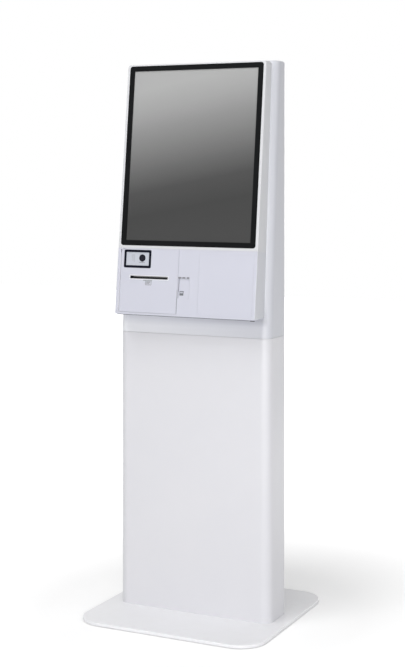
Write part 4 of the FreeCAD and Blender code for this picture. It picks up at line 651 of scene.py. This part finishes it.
# ---------------------------------------------------------------------------------------------------
# Code scanner. A pale pane in a black frame at the top left of the ticket door. The reader's dished
# lens stands in it, with a coated glass eye, three aiming windows beside it and a dark dash below.
# The black plastic of its body is the card reader's, the speakers' and the fan housing's too.
dress(moulding("scanner_frame", (0.003, 0.004, 0.010), (0.005, 0.006, 0.013), 0.42, pebble=1800,
               sheen=0.08), "scanner_ring")
dress(moulding("scanner_pane", (0.505, 0.525, 0.585), (0.49, 0.51, 0.57), 0.16, pebble=2600,
               depth=0.00003, strength=0.03), "scanner_window")
dress(moulding("scanner_lens", (0.006, 0.007, 0.012), (0.012, 0.012, 0.02), 0.2, pebble=2600,
               depth=0.00001, strength=0.01, sheen=0.1), "scanner_lens")
module_black = moulding("module_black", (0.02, 0.02, 0.021), (0.03, 0.03, 0.032), 0.5)
dress(module_black, "scanner_body", "card_reader_body", "speakers", "fan_housing")

LENS_X, LENS_S, PANE_FACE = -136.0, 158.0, 0.4
EYE_R, EYE_CORE_R, EYE_FLAT, EYE_DEEP = 4.6, 1.0, 0.22, 1.35
hub = Vector((LENS_X, EYE_DEEP, LENS_S))
eye = bmesh.new()
bmesh.ops.create_uvsphere(eye, u_segments=36, v_segments=18, radius=EYE_R,
                          matrix=Matrix.Translation(hub) @ Matrix.Diagonal((1, EYE_FLAT, 1, 1)))
eye_glass, tree, surface, point = blank_material("eye_glass", 0.05)
surface["Specular IOR Level"].default_value = 0.3
from_hub = fit(tree, "VectorMath", {0: point, 1: FACE @ hub * MM}, operation="DISTANCE").outputs["Value"]
# Painted reflection: the purple tint towards the eye's rim stands in for its coating's reflection.
reflection_rim = ramp(tree, from_hub, start=EYE_CORE_R * MM, end=EYE_R * MM)
coating_reflection = blend_colours(tree, reflection_rim, (0.003, 0.003, 0.008, 1), (0.016, 0.008, 0.03, 1))
tree.links.new(coating_reflection, surface["Base Color"])
speck = place(tree, rub_marks, point, Lines=900, Patch=120)
tree.links.new(ramp(tree, speck["Mask"], low=0.04, high=0.12), surface["Roughness"])
piece("scanner_eye", eye, eye_glass, "ticket_door", FACE)

DASH_LEFT, DASH_RIGHT, DASH_FOOT, DASH_TOP = LENS_X - 9.5, LENS_X + 8.5, LENS_S - 13.3, LENS_S - 11.5
DASH_FRONT, WINDOW_FRONT, INK_REAR, WINDOW_HALF = PANE_FACE - 0.06, PANE_FACE - 0.05, PANE_FACE + 0.1, 0.7
dark_print = printed_ink("dark_print", (0.20, 0.20, 0.22), (0.24, 0.24, 0.26))
dash = bmesh.new()
brick(dash, (DASH_LEFT, DASH_FRONT, DASH_FOOT), (DASH_RIGHT, INK_REAR, DASH_TOP), edge=0.05, steps=1)
piece("scanner_dash", dash, dark_print, "ticket_door", FACE)
WINDOWS = ((-165.5, 149, 168), (-161.0, 146.5, 168), (-168.8, 158, 166))
pale_print = printed_ink("pale_print", (0.30, 0.31, 0.34), (0.34, 0.35, 0.38))
windows = bmesh.new()
for x, low, high in WINDOWS:
    brick(windows, (x - WINDOW_HALF, WINDOW_FRONT, low), (x + WINDOW_HALF, INK_REAR, high), edge=0.05,
          steps=1)
piece("aiming_windows", windows, pale_print, "ticket_door", FACE)


# ---------------------------------------------------------------------------------------------------
# Ticket slot. A white plastic bezel snaps into the door, with a thin light guide round it, shown
# unlit, and a black liner in its mouth. A serrated steel strip inside the upper lip tears the paper.
dress(moulding("slot_plastic", (0.74, 0.74, 0.76), (0.72, 0.72, 0.74), 0.33, pebble=2600, depth=0.00005),
      "ticket_slot_bezel")
SLOT_X, SLOT_S, SLOT_W, SLOT_H = -112.0, 104.4, 116.0, 6.0


def slot_frame(shape, past_x, past_s, front, rear, bar, edge):
    """A rectangular frame round the slot, reaching past_x and past_s beyond it, its bars bar wide."""
    x0, x1 = SLOT_X - SLOT_W / 2 - past_x, SLOT_X + SLOT_W / 2 + past_x
    s0, s1 = SLOT_S - SLOT_H / 2 - past_s, SLOT_S + SLOT_H / 2 + past_s
    brick(shape, (x0, front, s1 - bar), (x1, rear, s1), edge)
    brick(shape, (x0, front, s0), (x1, rear, s0 + bar), edge)
    brick(shape, (x0, front, s0 + bar - edge), (x0 + bar, rear, s1 - bar + edge), edge)
    brick(shape, (x1 - bar, front, s0 + bar - edge), (x1, rear, s1 - bar + edge), edge)


guide = bmesh.new()
slot_frame(guide, past_x=3.2, past_s=3.4, front=-0.15, rear=0.6, bar=2.4, edge=0.15)
light_guide = moulding("light_guide", (0.74, 0.75, 0.78), (0.72, 0.73, 0.76), 0.33, pebble=2600,
                       depth=0.00003, strength=0.05)
piece("slot_light", guide, light_guide, "ticket_door", FACE)
liner = bmesh.new()
slot_frame(liner, past_x=0.8, past_s=0.8, front=-0.1, rear=0.4, bar=1.0, edge=0.1)
slot_frame(liner, past_x=0.1, past_s=0.1, front=0.3, rear=8.9, bar=0.3, edge=0.05)
liner_black = moulding("liner_black", (0.006, 0.008, 0.016), (0.009, 0.011, 0.02), 0.45, pebble=1800,
                       sheen=0.1)
piece("slot_liner", liner, liner_black, "ticket_door", FACE)

STRIP_FRONT, STRIP_REAR, STRIP_TALL, STRIP_SHORT, STRIP_FLAT = 5.2, 5.7, 1.1, 1, 0.55
TEETH, TOOTH_PITCH, TOOTH_ROOT, TOOTH_TIP, TOOTH_HALF, TOOTH_SHARP = 57, 2.0, 1.0, 1.9, 0.9, 0.05
roof, strip_mid = SLOT_S + SLOT_H / 2, (STRIP_FRONT + STRIP_REAR) / 2
blade_steel = bare_metal("blade_steel", (0.70, 0.70, 0.70), (0.6, 0.6, 0.6), 0.16)
tear = bmesh.new()
brick(tear, (SLOT_X - SLOT_W / 2 + STRIP_SHORT, STRIP_FRONT, roof - STRIP_TALL),
      (SLOT_X + SLOT_W / 2 - STRIP_SHORT, STRIP_REAR, roof), edge=0.1, steps=1)
for tooth in range(TEETH):
    x = SLOT_X + (tooth - (TEETH - 1) / 2) * TOOTH_PITCH
    stud(tear, (x, strip_mid, roof - TOOTH_ROOT), (x, strip_mid, roof - TOOTH_TIP), TOOTH_HALF, sides=4,
         neck=TOOTH_SHARP)
bmesh.ops.scale(tear, vec=(1, STRIP_FLAT, 1), space=Matrix.Translation((0, -strip_mid, 0)),
                verts=tear.verts)
piece("tear_strip", tear, blade_steel, "ticket_door", FACE)


# ---------------------------------------------------------------------------------------------------
# Ticket door's catch, gap shadow and sign. The catch is a grey plastic snap. A thin dark grey strip
# along the lower part of the door's free edge is a painted shadow that darkens the gap there, and a slip
# of paper coming out of a slot is printed under the ticket slot.
dress(moulding("catch_plastic", (0.60, 0.60, 0.60), (0.55, 0.55, 0.55), 0.4), "door_catch")
INK_PROUD, INK_DEEP = 0.05, 0.12


def flat_sign(shape, corners):
    """A thin printed outline: the corners (x, s) in order, laid just proud of the face."""
    plate = shape.faces.new([shape.verts.new((x, -INK_PROUD, s)) for x, s in corners])
    thicken(shape, [plate], INK_DEEP)


def flat_bar(shape, left, right, foot, top):
    """A thin printed rectangle."""
    flat_sign(shape, [(left, foot), (right, foot), (right, top), (left, top)])


grey_print_and_shadow = printed_ink("grey_print_and_shadow", (0.20, 0.205, 0.22), (0.24, 0.245, 0.26))
# Painted shadow: a dark grey strip that darkens the door's gap.
gap_shadow = bmesh.new()
flat_bar(gap_shadow, left=-23.1, right=-22.1, foot=7.2, top=74.0)
piece("door_gap_shadow", gap_shadow, grey_print_and_shadow, "ticket_door", FACE)

SIGN_X, SIGN_S = -116.0, 90.5
MOUTH_LEFT, MOUTH_RIGHT, MOUTH_TOP = SIGN_X - 13.5, SIGN_X + 14.5, SIGN_S + 6.6
SLIP_LEFT, SLIP_RIGHT, SLIP_FOOT, SLIP_TOP = SIGN_X - 6.5, SIGN_X + 12.5, SIGN_S - 6.2, SIGN_S + 4.9
LINE, ROW_TALL, MARGIN, NOTCHES, NOTCH_DEEP, EDGE_UP = 1.5, 1.7, 2.8, 4, 0.3, 0.6
ROWS = ((3.4, 0), (0.6, 1.0), (-2.2, 3.0))
notch = (SLIP_RIGHT - SLIP_LEFT) / NOTCHES
slip = bmesh.new()
flat_bar(slip, MOUTH_LEFT, MOUTH_RIGHT, SLIP_TOP, MOUTH_TOP)
for x in (SLIP_LEFT, SLIP_RIGHT - LINE):
    flat_bar(slip, x, x + LINE, SLIP_FOOT + EDGE_UP, SLIP_TOP)
for step in range(NOTCHES):
    x, mid, end = (SLIP_LEFT + (step + part) * notch for part in (0, 0.5, 1))
    flat_sign(slip, [(x, SLIP_FOOT), (x, SLIP_FOOT + LINE), (mid, SLIP_FOOT - NOTCH_DEEP),
                     (end, SLIP_FOOT + LINE), (end, SLIP_FOOT), (mid, SLIP_FOOT - NOTCH_DEEP - LINE)])
for row, short in ROWS:
    flat_bar(slip, SLIP_LEFT + MARGIN, SLIP_RIGHT - MARGIN - short, SIGN_S + row - ROW_TALL, SIGN_S + row)
piece("slip_sign", slip, grey_print_and_shadow, "ticket_door", FACE)


# ---------------------------------------------------------------------------------------------------
# Card slot. A moulded insert beside the door, with an upright slit and a sloping finger recess. Three
# guide marks are printed over it, and a card going in is printed on it.
MARK_S, MARK_HALF, MARKS = 107.3, 2.1, ((-20.5, -10.5), (-8.2, 1.4), (5.6, 13.4))
marks = bmesh.new()
for left, right in MARKS:
    flat_bar(marks, left, right, MARK_S - MARK_HALF, MARK_S + MARK_HALF)
piece("guide_marks", marks, dark_print, "kiosk", FACE)

CARD_LEFT, CARD_RIGHT, CARD_FOOT, CARD_TOP = -14.2, -2.6, 58.6, 65.0
CARD_LINE, CARD_GAP, CARD_MOUTH, MOUTH_PAST = 1.4, 67.8, 70.4, 1.2
card = bmesh.new()
flat_bar(card, CARD_LEFT, CARD_RIGHT, CARD_FOOT, CARD_TOP)
flat_bar(card, CARD_LEFT, CARD_LEFT + CARD_LINE, CARD_TOP, CARD_GAP)
flat_bar(card, CARD_RIGHT - CARD_LINE, CARD_RIGHT, CARD_TOP, CARD_GAP)
flat_bar(card, CARD_LEFT, CARD_RIGHT + MOUTH_PAST, CARD_GAP, CARD_MOUTH)
ink_print = printed_ink("ink_print", (0.12, 0.125, 0.14), (0.14, 0.145, 0.16))
piece("card_sign", card, ink_print, "kiosk", FACE)


# ---------------------------------------------------------------------------------------------------
# Panel's lower edge. A dark grey strip along the underside of the panel is a painted shadow under its
# lower edge, and a small black block at its right corner is a painted shadow there too.
EDGE_SHADOW_HALF, EDGE_SHADOW_FRONT, EDGE_SHADOW_REAR, EDGE_SHADOW_FOOT, EDGE_SHADOW_TOP = 206, 1.3, 3.6, -1.0, 0.4
edge_shadow = bmesh.new()
brick(edge_shadow, (-EDGE_SHADOW_HALF, EDGE_SHADOW_FRONT, EDGE_SHADOW_FOOT), (EDGE_SHADOW_HALF, EDGE_SHADOW_REAR, EDGE_SHADOW_TOP), edge=0.3)
edge_shadow_grey = moulding("edge_shadow_grey", (0.13, 0.135, 0.15), (0.15, 0.155, 0.17), 0.6, pebble=1800)
piece("panel_edge_shadow", edge_shadow, edge_shadow_grey, "kiosk", FACE)
# Painted shadow: a small black block at the panel's lower right corner.
CORNER_SHADOW_LEFT, CORNER_SHADOW_RIGHT, CORNER_SHADOW_FRONT, CORNER_SHADOW_REAR, CORNER_SHADOW_FOOT, CORNER_SHADOW_TOP = 200, 212, 1.1, 6, -2.2, 0.3
corner_shadow = bmesh.new()
brick(corner_shadow, (CORNER_SHADOW_LEFT, CORNER_SHADOW_FRONT, CORNER_SHADOW_FOOT), (CORNER_SHADOW_RIGHT, CORNER_SHADOW_REAR, CORNER_SHADOW_TOP), edge=0.5)
piece("panel_corner_shadow", corner_shadow, module_black, "kiosk", FACE)


# ---------------------------------------------------------------------------------------------------
# Controller board and fan. The board stands off a galvanised plate behind the screen. Its green
# lacquer shows copper tracks, and chips, capacitors and a pin row are soldered to it. The fan's
# rotor is moulded in black plastic.
BOARD_FACE, MOUNTED_OVER = 3.6, 0.0038
board, tree, surface, point = blank_material("board_green", 0.32)
laid_flat = fit(tree, "Mapping", {"Vector": point, "Rotation": (math.pi / 2, 0, 0)}).outputs[0]
track = fit(tree, "TexBrick", {"Vector": laid_flat, "Scale": 160, "Mortar Size": 0.06,
                               "Color1": (0.012, 0.085, 0.035, 1), "Color2": (0.016, 0.11, 0.045, 1),
                               "Mortar": (0.05, 0.20, 0.09, 1)}).outputs
lacquer = place(tree, mould_grain, point, Pebble=700)
outward = fit(tree, "SeparateXYZ", {0: point}).outputs["Y"]
mounted = fit(tree, "Math", {0: outward, 1: MOUNTED_OVER}, operation="GREATER_THAN").outputs[0]
casing = blend_colours(tree, lacquer["Tone"], (0.03, 0.03, 0.032, 1), (0.05, 0.05, 0.052, 1))
tree.links.new(blend_colours(tree, mounted, track["Color"], casing), surface["Base Color"])
tree.links.new(ramp(tree, lacquer["Tone"], low=0.25, high=0.42), surface["Roughness"])
raise_surface(tree, surface, track["Fac"], strength=0.2, distance=0.00005)
dress(board, "controller_board")

CHIP_TALL, CAN_TALL, PIN_TALL, SOLDERED = 1.6, 9, 6, 0.1
CHIPS = ((-90, 1235, 26, 26), (-48, 1262, 16, 12), (-48, 1240, 16, 12), (-100, 1280, 14, 8),
         (-14, 1278, 18, 10), (-20, 1215, 12, 18), (-72, 1212, 9, 7), (4, 1240, 8, 10))
chips = bmesh.new()
for x, z, wide, tall in CHIPS:
    brick(chips, (x - wide / 2, BOARD_FACE - SOLDERED, z - tall / 2),
          (x + wide / 2, BOARD_FACE + CHIP_TALL, z + tall / 2), edge=0.3)
piece("board_chips", chips, inlet_black, "kiosk")
CANS = ((-10, 1190, 4.0), (0, 1190, 4.0), (10, 1190, 4.0), (-30, 1290, 3.0), (-64, 1290, 3.0),
        (40, 1285, 5.0))
PINS, PIN_PITCH, PIN_R, PINS_LEFT, PINS_Z = 24, 2.54, 0.35, -106, 1206
cans = bmesh.new()
for x, z, radius in CANS:
    stud(cans, (x, BOARD_FACE - SOLDERED, z), (x, BOARD_FACE + CAN_TALL, z), radius, edge=0.6, sides=24)
for pin in range(PINS):
    x = PINS_LEFT + pin * PIN_PITCH
    stud(cans, (x, BOARD_FACE - SOLDERED, PINS_Z), (x, BOARD_FACE + PIN_TALL, PINS_Z), PIN_R, sides=6)
piece("board_cans", cans, supply_case, "kiosk")
dress(moulding("fan_black", (0.015, 0.015, 0.016), (0.022, 0.022, 0.022), 0.38, pebble=2200), "fan_rotor")


# ---------------------------------------------------------------------------------------------------
# Paper roll. Thermal paper wound on a card tube, which turns on a steel spindle across the chassis.
# The turns show as fine rings on its ends.
ROLL_Y, ROLL_Z = -20.0, 884.0
paper, tree, surface, point = blank_material("roll_paper", 0.82)
from_axle = fit(tree, "Mapping", {"Vector": point, "Location": (0, -ROLL_Y * MM, -ROLL_Z * MM),
                                  "Scale": (0, 1, 1)}).outputs[0]
outward = fit(tree, "VectorMath", {0: from_axle}, operation="LENGTH").outputs["Value"]
turns = noise(tree, fit(tree, "CombineXYZ", {0: outward}).outputs[0], scale=2600, detail=3)
fibre = noise(tree, point, scale=500, detail=4)
layer = ramp(tree, turns, start=0.35, end=0.65)
wound = blend_colours(tree, layer, (0.74, 0.74, 0.72, 1), (0.84, 0.84, 0.83, 1))
tree.links.new(wound, surface["Base Color"])
tree.links.new(ramp(tree, fibre, low=0.7, high=0.92), surface["Roughness"])
raise_surface(tree, surface, times_plus(tree, turns, 0.5, fibre), strength=0.25, distance=0.0001)
dress(paper, "paper_roll")

CORE_LEFT, CORE_RIGHT, CORE_IN, CORE_OUT, CORE_ROUND = -168.5, -55.5, 6.5, 8.8, 0.2
card_tube = moulding("card_tube", (0.42, 0.30, 0.18), (0.50, 0.37, 0.24), 0.85, pebble=700, depth=0.0002,
                     strength=0.3)
core = bmesh.new()
turned(core, [(CORE_LEFT, CORE_IN), (CORE_LEFT, CORE_OUT - CORE_ROUND), (CORE_LEFT + CORE_ROUND, CORE_OUT),
              (CORE_RIGHT - CORE_ROUND, CORE_OUT), (CORE_RIGHT, CORE_OUT - CORE_ROUND),
              (CORE_RIGHT, CORE_IN)])
piece("roll_core", core, card_tube, "paper_roll", Matrix.Translation((0, ROLL_Y, ROLL_Z)))


# ---------------------------------------------------------------------------------------------------
# Printer. Its plastic lid carries the rubber platen over the glazed heater line of the thermal head,
# and has grip ribs on top. A small motor, screwed to the gear plate, turns the platen by a brass
# pinion, and the cutter stands in front.
lid_plastic = moulding("lid_plastic", (0.045, 0.047, 0.052), (0.055, 0.057, 0.062), 0.40)
dress(lid_plastic, "printer_lid")
RIBS, RIB_PITCH, RIB_WIDE, RIB_LEFT, RIB_RIGHT, RIB_Y = 7, 2.6, 1.3, -132, -92, -71.0
LID_TOP, RIB_SUNK, RIB_PROUD = 960.0, 0.2, 0.7
grip = bmesh.new()
for rib in range(RIBS):
    y = RIB_Y + rib * RIB_PITCH
    brick(grip, (RIB_LEFT, y, LID_TOP - RIB_SUNK), (RIB_RIGHT, y + RIB_WIDE, LID_TOP + RIB_PROUD), edge=0.4)
piece("lid_grip", grip, lid_plastic, "printer_lid")
dress(bare_metal("axle_steel", (0.64, 0.64, 0.64), (0.55, 0.55, 0.55), 0.18), "platen_axle")
dress(moulding("platen_rubber", (0.04, 0.04, 0.042), (0.05, 0.05, 0.05), 0.7), "platen_sleeve")
dress(bare_metal("pinion_brass", (0.70, 0.50, 0.20), (0.60, 0.42, 0.16), 0.34), "motor_pinion")
dress(bare_metal("motor_can", (0.58, 0.59, 0.60), (0.48, 0.49, 0.50), 0.34), "drive_motor")
dress(bare_metal("head_aluminium", (0.74, 0.74, 0.75), (0.66, 0.66, 0.67), 0.34), "print_head")
dress(moulding("cutter_plastic", (0.03, 0.03, 0.032), (0.04, 0.04, 0.042), 0.5), "cutter_frame")
dress(blade_steel, "cutter_blade")

HEATER_HALF, HEATER_FRONT, HEATER_REAR, HEATER_FOOT, HEATER_TOP = 52, -65, -59, 941.35, 941.5
heater_glaze = moulding("heater_glaze", (0.30, 0.12, 0.05), (0.36, 0.16, 0.07), 0.15, pebble=2600,
                        depth=0.00002, strength=0.04)
line = bmesh.new()
brick(line, (SLOT_X - HEATER_HALF, HEATER_FRONT, HEATER_FOOT),
      (SLOT_X + HEATER_HALF, HEATER_REAR, HEATER_TOP), edge=0.05, steps=1)
piece("heater_line", line, heater_glaze, "kiosk")

PLATE_X, HEAD_X, HEAD_R = -36.6, -34.6, 2.6
KEY_LONG, KEY_HALF, KEY_PROUD = 1.9, 0.35, 0.2
SCREW_PLACES = ((-78, 920.7), (-34, 920.7), (-34, 946.7))
heads = bmesh.new()
for y, z in SCREW_PLACES:
    stud(heads, (PLATE_X, y, z), (HEAD_X, y, z), HEAD_R, edge=0.5, sides=24)
    brick(heads, (HEAD_X - KEY_PROUD, y - KEY_LONG, z - KEY_HALF),
          (HEAD_X + KEY_PROUD, y + KEY_LONG, z + KEY_HALF))
piece("gear_plate_screws", heads, bolt_steel, "kiosk")
